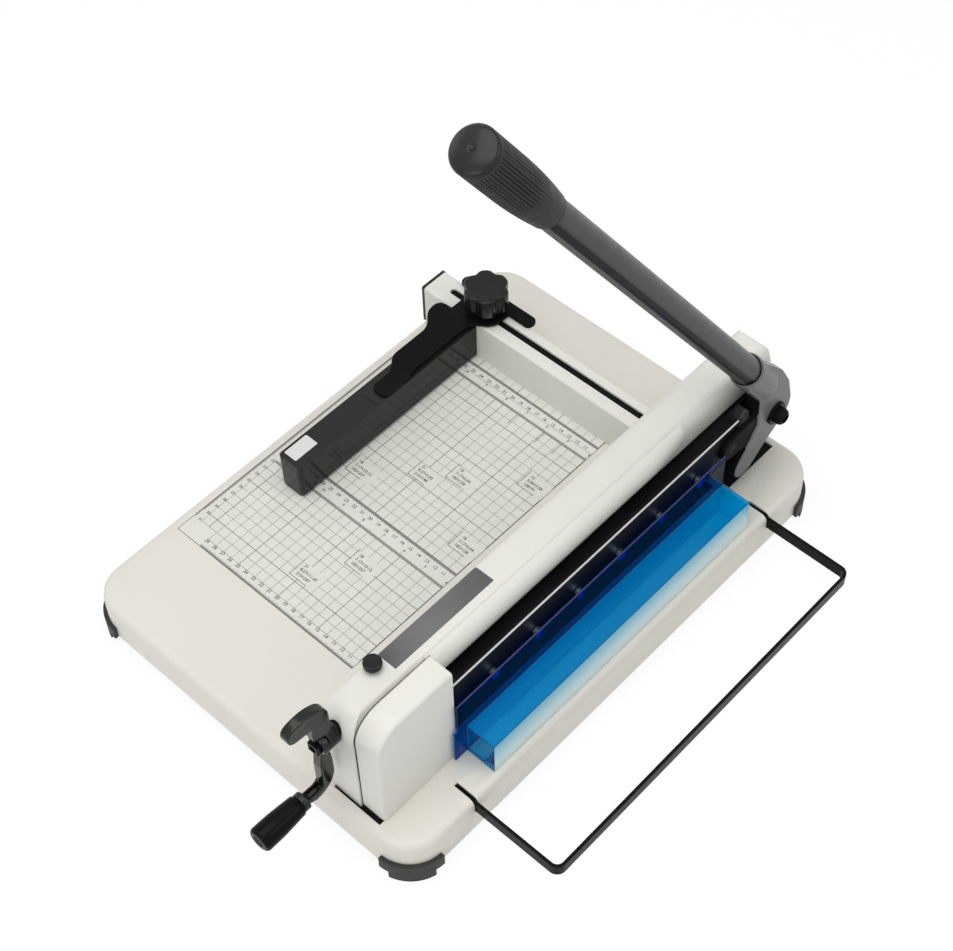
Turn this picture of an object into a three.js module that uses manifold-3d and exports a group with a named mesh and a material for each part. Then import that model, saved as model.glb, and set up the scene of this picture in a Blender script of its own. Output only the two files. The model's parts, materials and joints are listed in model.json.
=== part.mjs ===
// Stack paper cutter with a long hand lever, a screw-down paper clamp and a sliding side guide.
// Units are millimetres. X = 0 is the cutting line, with +X towards the finger guard.
// Y = 0 is the zero of the printed scale, with +Y towards the paper stop. Z = 0 is the face of the table.
// At the very end the model is moved so that its origin is the middle of its box, on the ground.

import * as THREE from 'three';
import { mergeVertices } from 'three/addons/utils/BufferGeometryUtils.js';
import Module from 'manifold-3d';

const wasm = await Module();
wasm.setup();

// Clearances and cuts
const seatGap = 0.3;
const runGap = 0.6;
const cutOverrun = 1;
const screwGap = 0.4;

// Base pan and its rubber corner feet
const tableWidth = 330.5;
const rightShelf = 63;
const nearReach = 107.5;
const farReach = 428;
const panCornerRadius = 35;
const panWall = 2.5;
const panSkirt = 41;
const panEdgeRound = 7;
const footWall = 4;
const footHeight = 23;
const footSole = 9;
const footLedge = 14;
const footTab = 3;
const footSoleInset = 9;

// Steel bed under the pan, and the cutting stick laid in its groove
const bedLeft = 60;
const bedRight = 20;
const bedDepth = 18.2;
const bedEndInset = 11;
const stickSide = 10;
const stickSink = 0.8;
const stickEndGap = 1;

// Beam over the paper throat
const beamRightInset = 3;
const beamWall = 2;
const beamNearInset = 11.5;
const beamFarInset = 1.5;
const beamEndRound = 25;
const beamFarRound = 6;
const beamLeftRound = 8;
const beamShoulderWidth = 12;
const beamShoulderDrop = 28;
const beamShoulderGap = 2;
const throatHeight = 50;
const throatNear = 20;
const throatFarGap = 26;
const legOpeningRight = 20.5;
const legOpeningLeft = 31.5;
const farOpeningRight = 17;
const farOpeningLeft = 12;
const farOpeningInset = 10;

// Cast frame that the knife slides on
const frameThickness = 9.6;
const frameFaceGap = 0.4;
const frameTopRise = 10;
const frameThroatGap = 0.4;
const frameNearInset = 8;
const nearLegWidth = 64;
const farLegWidth = 64;
const frameRound = 8;
const pivotBossRadius = 11.4;

// Hand lever: pivot, hub casting, tapered bar and ribbed grip
const pivotInset = 29.5;
const pivotHeight = 72;
const leverRaisedDegrees = 55.4;
const leverAxisX = 15.6;
const leverAxisOffset = 14.1;
const hubInnerX = 13;
const hubThickness = 12;
const hubHeadRadius = 23.5;
const hubShoulderRadius = 16.4;
const hubShoulderAlong = 42;
const hubShoulderAcross = 2.5;
const hubArmReach = 53.9;
const hubArmDegrees = 226.4;
const hubArmRadius = 14;
const hubBulgeRadius = 17;
const hubBulgeReach = 27;
const socketRadius = 15.4;
const socketReach = 94.4;
const socketLength = 58;
const socketTaper = 12;
const socketDepth = 40;
const barRootRadius = 12.9;
const barTipRadius = 12;
const barLength = 510;
const gripRadius = 16.6;
const gripNeckRadius = 13.6;
const gripLength = 128;
const gripTaper = 34;
const gripOverlap = 30;
const gripBoreFlare = 0.36;
const gripDome = 5;
const gripRibs = 30;
const gripRibDepth = 0.9;
const gripPlainShare = 0.3;
const gripSwellShare = 0.5;
const gripDomeShares = [[0.65, 0.8], [1, 0.4]];
const pivotBoltRadius = 6;
const pivotWasherRadius = 11.5;
const pivotWasherThickness = 2.6;
const pivotHeadRadius = 8.2;
const pivotHeadHeight = 8.5;
const pivotHeadShares = [[1, 0], [1, 0.45], [0.86, 0.8], [0.6, 1]];
const pivotSocketAcross = 8;
const pivotSocketDepth = 4.5;
const pivotNutRadius = 10.5;
const pivotNutHeight = 8;
const pivotThreadProud = 3;

// Knife: carrier casting, blade and the pins it swings on
const swingRadius = 58;
const swingRaisedDegrees = 1;
const lobeThickness = 4.9;
const lobeTipRadius = 13;
const lobeRootRadius = 21;
const carrierThickness = 18;
const carrierRise = 23;
const carrierHeight = 44;
const carrierFarReach = 13.5;
const carrierNearReach = 14;
const bladeThickness = 5;
const bladeTopInset = 13.5;
const bladeEdgeHeight = 41.5;
const bladeBevel = 9;
const bladeEdgeLand = 0.3;
const bladeOverFence = 9;
const bladeNearReach = 8;
const bladeBoltCount = 6;
const bladeBoltFirst = 37.5;
const bladeBoltFarInset = 30;
const bladeBoltDrop = 29;
const bladeBoltRadius = 3;
const bladeBoltHeadRadius = 5;
const bladeBoltHeadHeight = 4.6;
const bladeBoltSocketRadius = 2.5;
const bladeBoltSocketDepth = 2.4;
const blindWall = 1.2;
const carrierPinRadius = 5;
const rollerRadius = 6;
const rollerPinRadius = 3;
const rollerReach = 8;
const rollerInset = 16.509;
const rollerPinWall = 2.5;

// Cover over the near end of the knife
const coverWidth = 24.4;
const coverRise = 10;
const coverLength = 84;
const coverWall = 2.5;
const coverRound = 27;
const coverEdgeRound = 3;
const coverInset = 2;
const coverBeamGap = 0.6;

// Clear finger guard
const guardBackX = 24;
const guardDepth = 32;
const guardBackHeight = 76;
const guardHeight = 38;
const guardWall = 2;
const guardNear = 2;
const guardPlateReach = 9.5;
const guardTabLength = 13.4;
const guardTabHeight = 40;
const guardFoot = 10;
const guardFootHeight = 4;
const guardHoleDepth = 3;
const guardScrewRadius = 2;
const guardScrewHeadRadius = 4;
const guardScrewHeadHeight = 2.5;

// Paper stop, side guide and its clamp knob
const stopSetback = 109;
const stopDepth = 30;
const stopHeight = 45;
const stopWall = 2.5;
const stopSlotWidth = 7.4;
const stopSlotInset = 12.3;
const stopSlotLeftInset = 23.5;
const stopSlotEndFlat = 0.03;
const stopSlotRight = 60;
const guideInset = 42.5;
const guideWidth = 28.5;
const guideLength = 230;
const guideHeight = 41;
const guideTaper = 1.2;
const guideTaperHeight = 3.6;
const guideStepWidth = 7;
const guideStepDrop = 1.2;
const armThickness = 2.4;
const armWidth = 26.3;
const armOverhang = 0.5;
const armEndWidth = 20;
const armEndInset = 8.5;
const armEndRound = 8.5;
const armNearReach = 122;
const armBendNear = 99;
const armBendFar = 79;
const armBumpReach = 15;
const armBumpNear = 44;
const armBumpPeak = 13;
const armBumpFar = 3.2;
const armFlareNear = 18;
const armFlareReach = 20.4;
const armBarWidth = 89;
const armBarDepth = 13;
const armBarRound = 6;
const armBarThickness = 4;
const armBarOverhang = 9;
const knobInset = 26.5;
const knobRadius = 22.8;
const knobLobes = 6;
const knobTurnedDegrees = 14.3;
const knobLobeDepth = 3;
const knobHeight = 22;
const knobCollarHeight = 10;
const knobCollarRadius = 9;
const knobEdgeRound = 2;
const studRadius = 3;
const studHeadDepth = 12;
const nutPlateSide = 19;
const nutPlateThickness = 3;

// Paper clamp: axle with crank, geared shaft, racks and pressing plate
const shaftFrameGap = 13;
const axleOffset = 1;
const axleDrop = 18.7;
const axleRadius = 7.4;
const shaftRadius = 4;
const axleProud = 4.5;
const axleInnerReach = 58;
const gearTeeth = 18;
const gearWidth = 9;
const gearInset = 26;
const pinionTeeth = 10;
const pinionModule = 1.6;
const pinionWidth = 10;
const pressureDegrees = 20;
const toothBacklash = 0.4;
const toothTipShare = 0.8;
const toothRootShare = 1.25;
const gearDrop = 28.3;
const pinionNearInset = 50;
const pinionFarInset = 28;
const clampDrop = 24;
const clampLipThickness = 2.6;
const clampBodyHeight = 9;
const clampLedge = 0.8;
const clampSideGap = 2;
const clampLipRight = 1;
const clampEndGap = 4;
const rackBack = 4.2;
const rackTopGap = 2.4;
const bracketThickness = 7;
const bracketDrop = 12;
const bracketRise = 7.7;
const bracketNearInset = 11;
const bracketMidInset = 38;
const bracketFarInset = 27;

// Crank with its grip, the release lever and the push button
const crankHubRadius = 10;
const crankHubLength = 6.6;
const crankThickness = 10;
const crankDrop = 57.3;
const crankReach = 41;
const crankBulgeGap = 8;
const crankWaist = 12.7;
const crankElbow = 22;
const crankElbowRise = 15;
const crankElbowRound = 6;
const crankEndRise = 2;
const crankEndDrop = 7;
const crankEyeRadius = 8.4;
const crankEyeLength = 6;
const crankNutSide = 10.4;
const gripPinRadius = 3;
const gripPinHeadRadius = 4.6;
const gripPinHeadHeight = 2;
const handleRadius = 11.2;
const handleNeckRadius = 9.4;
const handleLength = 43.5;
const handleRound = 4;
const paddleHubLength = 10.5;
const paddleHubRadius = 9.8;
const paddleHubTipRadius = 4.5;
const paddleHubTipRise = 11;
const paddleFaceGap = 5;
const paddleLength = 41.5;
const paddleHeight = 19;
const paddleRise = 36;
const paddleThickness = 9;
const paddleNeckWidth = 18;
const paddleCrestShare = 0.6;
const buttonRadius = 7.9;
const buttonHeight = 9;
const buttonRound = 1.6;
const buttonStemRadius = 4;
const buttonStemLength = 6;
const buttonTravel = 4;
const buttonInset = 10;
const buttonNearInset = 53;

// Sliding loop that catches the cut sheets
const loopReach = 150;
const loopNearInset = 76.5;
const loopFarInset = 76;
const loopBar = 3;
const loopDepth = 12.8;
const loopTopSink = 3.2;
const loopInnerX = 10;
const loopRound = 9;
const loopSlitLeft = 40;

// Round stretches and curves
const edgeSteps = 4;
const cornerSteps = 6;
const panSteps = 8;
const castSteps = 10;
const coverSteps = 12;
const hubSteps = 14;
const coarse = 16;
const medium = 24;
const fine = 40;

// Heights worked out from the lever's pivot: the frame round it, the beam over the frame and the clamp inside
const frameTop = pivotHeight + frameTopRise;
const shoulderZ = frameTop + beamShoulderGap;
const beamHeight = shoulderZ + beamShoulderDrop;
const coverHeight = beamHeight + coverRise;
const axleHeight = beamHeight - axleDrop;
const shaftHeight = axleHeight - gearDrop;
const clampRestHeight = shaftHeight - clampDrop;
const clampLipTop = clampRestHeight + clampLipThickness;
const frameThroat = clampLipTop + frameThroatGap;
const rackTop = beamHeight - beamWall - rackTopGap;
const carrierTop = pivotHeight + carrierRise;
const bladeTop = carrierTop - bladeTopInset;
const bladeBoltHeight = carrierTop - bladeBoltDrop;

// Places across the machine: the frame behind the cutting line, the clamp's shaft and racks, then the beam
const radians = Math.PI / 180;
const leftX = -tableWidth;
const frameFrontX = -frameFaceGap;
const frameBackX = frameFrontX - frameThickness;
const clampAxisX = frameBackX - shaftFrameGap;
const crankAxisX = clampAxisX - axleOffset;
const rackPitchX = clampAxisX - (pinionTeeth * pinionModule) / 2;
const rackRootX = rackPitchX - pinionModule * toothRootShare;
const rackBackX = rackRootX - rackBack;
const clampLeftX = rackBackX - clampLedge;
const beamLeftX = clampLeftX - clampSideGap - beamWall;
const beamRightX = -beamRightInset;
const buttonX = beamLeftX + buttonInset;
const guideLeftX = leftX + guideInset;
const hubOuterX = hubInnerX + hubThickness;

// Places from the near end to the far end
const nearY = -nearReach;
const beamNearY = nearY + beamNearInset;
const beamFarY = farReach - beamFarInset;
const stopY = farReach - stopSetback;
const throatNearY = -throatNear;
const throatFarY = stopY + throatFarGap;
const frameNearY = beamNearY + frameNearInset;
const frameFarY = farReach - farOpeningInset - seatGap;
const pivotY = farReach - pivotInset;
const pinY = pivotY - swingRadius * Math.cos(swingRaisedDegrees * radians);
const pinZ = pivotHeight + swingRadius * Math.sin(swingRaisedDegrees * radians);
const nearPinY = frameNearY + rollerInset;
const slotCentreY = pivotY - (pinY - nearPinY);
const bladeNearY = -bladeNearReach;
const bladeFarY = stopY + bladeOverFence;
const coverNearY = beamNearY + coverInset;
const coverFarY = coverNearY + coverLength;
const bracketFarY = throatFarY - bracketFarInset;
const pinionNearY = throatNearY + pinionNearInset;
const pinionFarY = bracketFarY - pinionFarInset;
const guideNearY = stopY - runGap - guideLength;
const buttonY = beamNearY + buttonNearInset;
const loopNearY = nearY + loopNearInset;
const loopFarY = farReach - loopFarInset;

// Heights under the table
const frameFootZ = -panWall;
const bedTopZ = -panWall - seatGap;
const bedBottomZ = bedTopZ - bedDepth;
const footBottomZ = -panSkirt - footSole;

// Turns a closed three.js geometry into a solid that can be cut and joined
function solid(geometry) {
  geometry.deleteAttribute('normal');
  geometry.deleteAttribute('uv');
  const merged = mergeVertices(geometry);
  const mesh = new wasm.Mesh({
    numProp: 3,
    vertProperties: new Float32Array(merged.attributes.position.array),
    triVerts: new Uint32Array(merged.index.array),
  });
  return new wasm.Manifold(mesh);
}

// A block between two opposite corners
function block(x0, x1, y0, y1, z0, z1) {
  const geometry = new THREE.BoxGeometry(x1 - x0, y1 - y0, z1 - z0);
  geometry.translate((x0 + x1) / 2, (y0 + y1) / 2, (z0 + z1) / 2);
  return solid(geometry);
}

// An outline drawn out square to its plane, without rounded edges
function drawnOut(shape, depth, steps) {
  return new THREE.ExtrudeGeometry(shape, { depth, bevelEnabled: false, curveSegments: steps });
}

// An outline drawn in Y and Z, drawn out along X
function alongX(shape, x0, x1, steps = coarse) {
  const geometry = drawnOut(shape, x1 - x0, steps);
  const turn = new THREE.Matrix4().makeBasis(
    new THREE.Vector3(0, 1, 0),
    new THREE.Vector3(0, 0, 1),
    new THREE.Vector3(1, 0, 0),
  );
  geometry.applyMatrix4(turn);
  geometry.translate(x0, 0, 0);
  return solid(geometry);
}

// An outline drawn in X and Z, drawn out along Y
function alongY(shape, y0, y1, steps = coarse) {
  const geometry = drawnOut(shape, y1 - y0, steps);
  const turn = new THREE.Matrix4().makeBasis(
    new THREE.Vector3(1, 0, 0),
    new THREE.Vector3(0, 0, 1),
    new THREE.Vector3(0, -1, 0),
  );
  geometry.applyMatrix4(turn);
  geometry.translate(0, y1, 0);
  return solid(geometry);
}

// An outline drawn in X and Y, drawn out along Z
function alongZ(shape, z0, z1, steps = coarse) {
  const geometry = drawnOut(shape, z1 - z0, steps);
  geometry.translate(0, 0, z0);
  return solid(geometry);
}

// Round bars along the three axes
function barX(y, z, radius, x0, x1, steps = medium) {
  const geometry = new THREE.CylinderGeometry(radius, radius, x1 - x0, steps);
  geometry.rotateZ(-Math.PI / 2);
  geometry.translate((x0 + x1) / 2, y, z);
  return solid(geometry);
}

function barY(x, z, radius, y0, y1, steps = medium) {
  const geometry = new THREE.CylinderGeometry(radius, radius, y1 - y0, steps);
  geometry.translate(x, (y0 + y1) / 2, z);
  return solid(geometry);
}

function barZ(x, y, radius, z0, z1, steps = medium) {
  const geometry = new THREE.CylinderGeometry(radius, radius, z1 - z0, steps);
  geometry.rotateX(Math.PI / 2);
  geometry.translate(x, y, (z0 + z1) / 2);
  return solid(geometry);
}

// A body of revolution about +Z, from points of radius and height that start and end on the axis
function turned(points, steps = medium) {
  const profile = points.map(([radius, height]) => new THREE.Vector2(radius, height));
  const geometry = new THREE.LatheGeometry(profile, steps);
  geometry.rotateX(Math.PI / 2);
  return geometry;
}

// A closed outline through corner points
function outline(points) {
  return new THREE.Shape(points.map(([u, v]) => new THREE.Vector2(u, v)));
}

// A rectangle with one radius on all corners
function roundRect(u0, u1, v0, v1, radius) {
  const shape = new THREE.Shape();
  shape.moveTo(u0 + radius, v0);
  shape.lineTo(u1 - radius, v0);
  shape.absarc(u1 - radius, v0 + radius, radius, -Math.PI / 2, 0, false);
  shape.lineTo(u1, v1 - radius);
  shape.absarc(u1 - radius, v1 - radius, radius, 0, Math.PI / 2, false);
  shape.lineTo(u0 + radius, v1);
  shape.absarc(u0 + radius, v1 - radius, radius, Math.PI / 2, Math.PI, false);
  shape.lineTo(u0, v0 + radius);
  shape.absarc(u0 + radius, v0 + radius, radius, Math.PI, 1.5 * Math.PI, false);
  return shape;
}

// The outline of two unequal circles and the straight sides that touch both
function strap(u0, v0, r0, u1, v1, r1) {
  const direction = Math.atan2(v1 - v0, u1 - u0);
  const distance = Math.hypot(u1 - u0, v1 - v0);
  const lean = Math.acos((r0 - r1) / distance);
  const shape = new THREE.Shape();
  shape.absarc(u1, v1, r1, direction - lean, direction + lean, false);
  shape.absarc(u0, v0, r0, direction + lean, direction - lean + 2 * Math.PI, false);
  return shape;
}

// The base outline, grown by an offset
function baseOutline(offset) {
  const radius = Math.max(panCornerRadius + offset, panWall);
  return roundRect(leftX - offset, rightShelf + offset, nearY - offset, farReach + offset, radius);
}

const materials = {
  ivory: { color: 0xe9e6dc, roughness: 0.45, metalness: 0 },
  rubber: { color: 0x1b1b1c, roughness: 0.8, metalness: 0 },
  blackPaint: { color: 0x161617, roughness: 0.25, metalness: 0 },
  castBlack: { color: 0x202124, roughness: 0.5, metalness: 0.2 },
  steel: { color: 0xb9bcc0, roughness: 0.3, metalness: 1 },
  darkSteel: { color: 0x4a4c50, roughness: 0.45, metalness: 1 },
  redPlastic: { color: 0xd02a26, roughness: 0.5, metalness: 0 },
  blueClear: { color: 0x1583d6, roughness: 0.1, metalness: 0, transparent: true, opacity: 0.6 },
  blackPlastic: { color: 0x121213, roughness: 0.35, metalness: 0 },
};

// Gives a solid its name and material
function piece(name, body, material) {
  const mesh = body.getMesh();
  const geometry = new THREE.BufferGeometry();
  geometry.setAttribute('position', new THREE.BufferAttribute(new Float32Array(mesh.vertProperties), 3));
  geometry.setIndex(new THREE.BufferAttribute(new Uint32Array(mesh.triVerts), 1));
  geometry.computeVertexNormals();
  const part = new THREE.Mesh(geometry, new THREE.MeshStandardMaterial(materials[material]));
  part.name = name;
  return part;
}

// Pressed pan: rounded top edge, hollow underneath, with the openings for what passes through it
function basePan() {
  const full = new THREE.ExtrudeGeometry(baseOutline(-panEdgeRound), {
    depth: panSkirt - panEdgeRound,
    bevelEnabled: true,
    bevelThickness: panEdgeRound,
    bevelSize: panEdgeRound,
    bevelSegments: edgeSteps,
    curveSegments: panSteps,
  });
  full.translate(0, 0, -panSkirt);
  const outside = solid(full).subtract(
    block(leftX - cutOverrun, rightShelf + cutOverrun, nearY - cutOverrun, farReach + cutOverrun,
      -panSkirt - panEdgeRound - cutOverrun, -panSkirt),
  );
  const hollow = alongZ(baseOutline(-panWall), -panSkirt - cutOverrun, -panWall, panSteps);
  const stickX = stickSide / 2 + seatGap;
  const openings = [
    [-stickX, stickX, throatNearY - stickEndGap, throatFarY + stickEndGap],
    [-legOpeningLeft, legOpeningRight, beamNearY - panWall, coverFarY - panWall],
    [-farOpeningLeft, farOpeningRight, frameFarY - farLegWidth - seatGap, farReach - farOpeningInset],
  ];
  let pan = outside.subtract(hollow);
  for (const [x0, x1, y0, y1] of openings) {
    pan = pan.subtract(block(x0, x1, y0, y1, -panWall - cutOverrun, cutOverrun));
  }
  for (const y of [loopNearY, loopFarY]) {
    pan = pan.subtract(block(loopSlitLeft, rightShelf + cutOverrun, y - loopBar / 2 - runGap,
      y + loopBar / 2 + runGap, -loopTopSink - loopDepth - runGap, cutOverrun));
  }
  for (const y of guardScrewPlaces()) {
    pan = pan.subtract(barZ(guardScrewX(), y, guardScrewRadius + screwGap, -panWall - cutOverrun,
      cutOverrun, coarse));
  }
  return pan;
}

// Rubber pad round one corner of the pan, with a sole under the skirt
function foot(sideX, sideY) {
  const top = footBottomZ + footHeight;
  const wall = alongZ(baseOutline(footWall), footBottomZ, top, panSteps);
  const room = alongZ(baseOutline(seatGap), -panSkirt - seatGap, top + cutOverrun, panSteps);
  const middle = alongZ(baseOutline(-footLedge), footBottomZ - cutOverrun, top + cutOverrun, panSteps);
  const reach = panCornerRadius + footTab;
  const cornerX = sideX > 0 ? rightShelf + footWall : leftX - footWall;
  const cornerY = sideY > 0 ? farReach + footWall : nearY - footWall;
  const x = [cornerX, cornerX - sideX * reach].sort((a, b) => a - b);
  const y = [cornerY, cornerY - sideY * reach].sort((a, b) => a - b);
  const soleReach = reach - footSoleInset;
  const soleX = [cornerX, cornerX - sideX * soleReach].sort((a, b) => a - b);
  const soleY = [cornerY, cornerY - sideY * soleReach].sort((a, b) => a - b);
  const band = block(x[0], x[1], y[0], y[1], -panSkirt, top);
  const sole = block(soleX[0], soleX[1], soleY[0], soleY[1], footBottomZ, -panSkirt);
  return wall.subtract(room).subtract(middle).intersect(band.add(sole));
}

// Steel bed with the groove of the cutting stick and the two channels of the loop
function bedPlate() {
  const near = beamNearY + bedEndInset / 2;
  const far = farReach - bedEndInset / 2;
  let bed = block(-bedLeft, bedRight, near, far, bedBottomZ, bedTopZ);
  const grooveX = stickSide / 2 + seatGap;
  const grooveZ = -stickSink - stickSide - seatGap;
  bed = bed.subtract(block(-grooveX, grooveX, throatNearY - stickEndGap, throatFarY + stickEndGap,
    grooveZ, bedTopZ + cutOverrun));
  for (const y of [loopNearY, loopFarY]) {
    bed = bed.subtract(block(-bedLeft - cutOverrun, bedRight + cutOverrun, y - loopBar / 2 - runGap,
      y + loopBar / 2 + runGap, -loopTopSink - loopDepth - runGap, bedTopZ + cutOverrun));
  }
  return bed;
}

function cuttingStick() {
  return block(-stickSide / 2, stickSide / 2, throatNearY, throatFarY, -stickSink - stickSide, -stickSink);
}

// The beam's section in X and Z: flat top, small round on the left, long shoulder on the right
function beamSection(inset) {
  const left = beamLeftX + inset;
  const right = beamRightX - inset;
  const top = beamHeight - inset;
  const shoulderX = beamRightX - beamShoulderWidth;
  const leftRound = beamLeftRound - inset;
  const shape = new THREE.Shape();
  shape.moveTo(left, -panWall);
  shape.lineTo(right, -panWall);
  shape.lineTo(right, shoulderZ);
  shape.absellipse(shoulderX, shoulderZ, right - shoulderX, top - shoulderZ, 0, Math.PI / 2, false, 0);
  shape.lineTo(left + leftRound, top);
  shape.absarc(left + leftRound, top - leftRound, leftRound, Math.PI / 2, Math.PI, false);
  return shape;
}

// The beam seen from the side, in Y and Z, with its rounded upper ends
function beamSide(inset) {
  const nearRadius = beamEndRound - inset;
  const farRadius = beamFarRound - inset;
  const near = beamNearY + inset;
  const far = beamFarY - inset;
  const top = beamHeight - inset;
  const bottom = -panWall - cutOverrun;
  const shape = new THREE.Shape();
  shape.moveTo(near, bottom);
  shape.lineTo(far, bottom);
  shape.lineTo(far, top - farRadius);
  shape.absarc(far - farRadius, top - farRadius, farRadius, 0, Math.PI / 2, false);
  shape.lineTo(near + nearRadius, top);
  shape.absarc(near + nearRadius, top - nearRadius, nearRadius, Math.PI / 2, Math.PI, false);
  return shape;
}

// Ivory housing of the beam, open below and along the knife
function beamHousing() {
  const outside = alongY(beamSection(0), beamNearY, beamFarY, castSteps).intersect(
    alongX(beamSide(0), beamLeftX - cutOverrun, beamRightX + cutOverrun, castSteps),
  );
  const inside = alongY(beamSection(beamWall), beamNearY, beamFarY, castSteps).intersect(
    alongX(beamSide(beamWall), beamLeftX, beamRightX, castSteps),
  );
  const underside = block(beamLeftX + beamWall, beamRightX - beamWall, beamNearY + beamWall,
    beamFarY - beamWall, -panWall - cutOverrun, -panWall + cutOverrun);
  const knifeSide = block(beamRightX - beamWall - cutOverrun, beamRightX + cutOverrun,
    beamNearY + beamWall, beamFarY + cutOverrun, -panWall - cutOverrun, shoulderZ);
  const throat = block(beamLeftX - cutOverrun, beamLeftX + beamWall + cutOverrun, throatNearY,
    throatFarY, -panWall - cutOverrun, throatHeight);
  const onTable = block(beamLeftX - cutOverrun, -legOpeningLeft + seatGap, beamNearY - cutOverrun,
    beamFarY + cutOverrun, -panWall - cutOverrun, seatGap);
  const onFarTable = block(beamLeftX - cutOverrun, beamRightX + cutOverrun, throatNearY,
    beamFarY + cutOverrun, -panWall - cutOverrun, seatGap);
  const axleHole = barY(crankAxisX, axleHeight, axleRadius + runGap, beamNearY - cutOverrun,
    beamNearY + beamEndRound);
  const buttonHole = barZ(buttonX, buttonY, buttonStemRadius + screwGap,
    beamHeight - beamWall - cutOverrun, beamHeight + cutOverrun);
  return outside
    .subtract(inside)
    .subtract(underside)
    .subtract(knifeSide)
    .subtract(throat)
    .subtract(onTable)
    .subtract(onFarTable)
    .subtract(axleHole)
    .subtract(buttonHole);
}

// The path of the knife's near roller, an arc about the point level with the lever's pivot
function rollerSlot() {
  const half = rollerRadius + runGap / 2;
  const start = Math.PI - swingRaisedDegrees * radians;
  const end = start + leverTravel() * radians;
  const shape = new THREE.Shape();
  const at = (angle) => [
    slotCentreY + swingRadius * Math.cos(angle),
    pivotHeight + swingRadius * Math.sin(angle),
  ];
  const [startY, startZ] = at(start);
  const [endY, endZ] = at(end);
  shape.absarc(slotCentreY, pivotHeight, swingRadius + half, start, end, false);
  shape.absarc(endY, endZ, half, end, end + Math.PI, false);
  shape.absarc(slotCentreY, pivotHeight, swingRadius - half, end, start, true);
  shape.absarc(startY, startZ, half, start + Math.PI, start + 2 * Math.PI, false);
  return shape;
}

// Degrees that the lever turns to bring the blade from its raised height to the stick
function leverTravel() {
  const drop = bladeEdgeHeight + stickSink / 2;
  const low = Math.asin(drop / swingRadius - Math.sin(swingRaisedDegrees * radians));
  return low / radians + swingRaisedDegrees;
}

// Cast frame: two legs joined by the plate that the knife slides on, and the boss of the lever's pivot
function knifeFrame() {
  const shape = new THREE.Shape();
  const nearLegFar = frameNearY + nearLegWidth;
  const farLegNear = frameFarY - farLegWidth;
  shape.moveTo(frameNearY, frameFootZ);
  shape.lineTo(nearLegFar, frameFootZ);
  shape.lineTo(nearLegFar, frameThroat - frameRound);
  shape.absarc(nearLegFar + frameRound, frameThroat - frameRound, frameRound, Math.PI, Math.PI / 2, true);
  shape.lineTo(farLegNear - frameRound, frameThroat);
  shape.absarc(farLegNear - frameRound, frameThroat - frameRound, frameRound, Math.PI / 2, 0, true);
  shape.lineTo(farLegNear, frameFootZ);
  shape.lineTo(frameFarY, frameFootZ);
  shape.lineTo(frameFarY, frameTop - frameRound);
  shape.absarc(frameFarY - frameRound, frameTop - frameRound, frameRound, 0, Math.PI / 2, false);
  shape.lineTo(frameNearY + frameRound, frameTop);
  shape.absarc(frameNearY + frameRound, frameTop - frameRound, frameRound, Math.PI / 2, Math.PI, false);
  const boss = barX(pivotY, pivotHeight, pivotBossRadius, frameFrontX - cutOverrun, hubInnerX - seatGap);
  const bore = barX(pivotY, pivotHeight, pivotBoltRadius + seatGap, frameBackX - cutOverrun,
    hubInnerX + cutOverrun);
  const path = alongX(rollerSlot(), frameBackX - cutOverrun, frameFrontX + cutOverrun, hubSteps);
  const gearTip = (gearTeeth / 2 + toothTipShare) * gearModule;
  const gearPocket = barY(clampAxisX, shaftHeight, gearTip + runGap, gearNearY() - runGap,
    gearNearY() + gearWidth + runGap);
  return alongX(shape, frameBackX, frameFrontX, cornerSteps)
    .add(boss)
    .subtract(bore)
    .subtract(path)
    .subtract(gearPocket);
}

// Places on the lever, measured along its bar from the foot of the perpendicular on the pivot
const leverUp = leverRaisedDegrees * radians;
const leverDirection = new THREE.Vector3(0, -Math.cos(leverUp), Math.sin(leverUp));
const leverFoot = new THREE.Vector3(
  leverAxisX,
  pivotY + leverAxisOffset * Math.sin(leverUp),
  pivotHeight + leverAxisOffset * Math.cos(leverUp),
);

// Moves a body of revolution from +Z onto the lever's axis, starting a given way along it
function ontoLever(geometry, start) {
  const place = leverFoot.clone().addScaledVector(leverDirection, start);
  geometry.rotateX(Math.PI / 2 - leverUp);
  geometry.translate(place.x, place.y, place.z);
  return solid(geometry);
}

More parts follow.
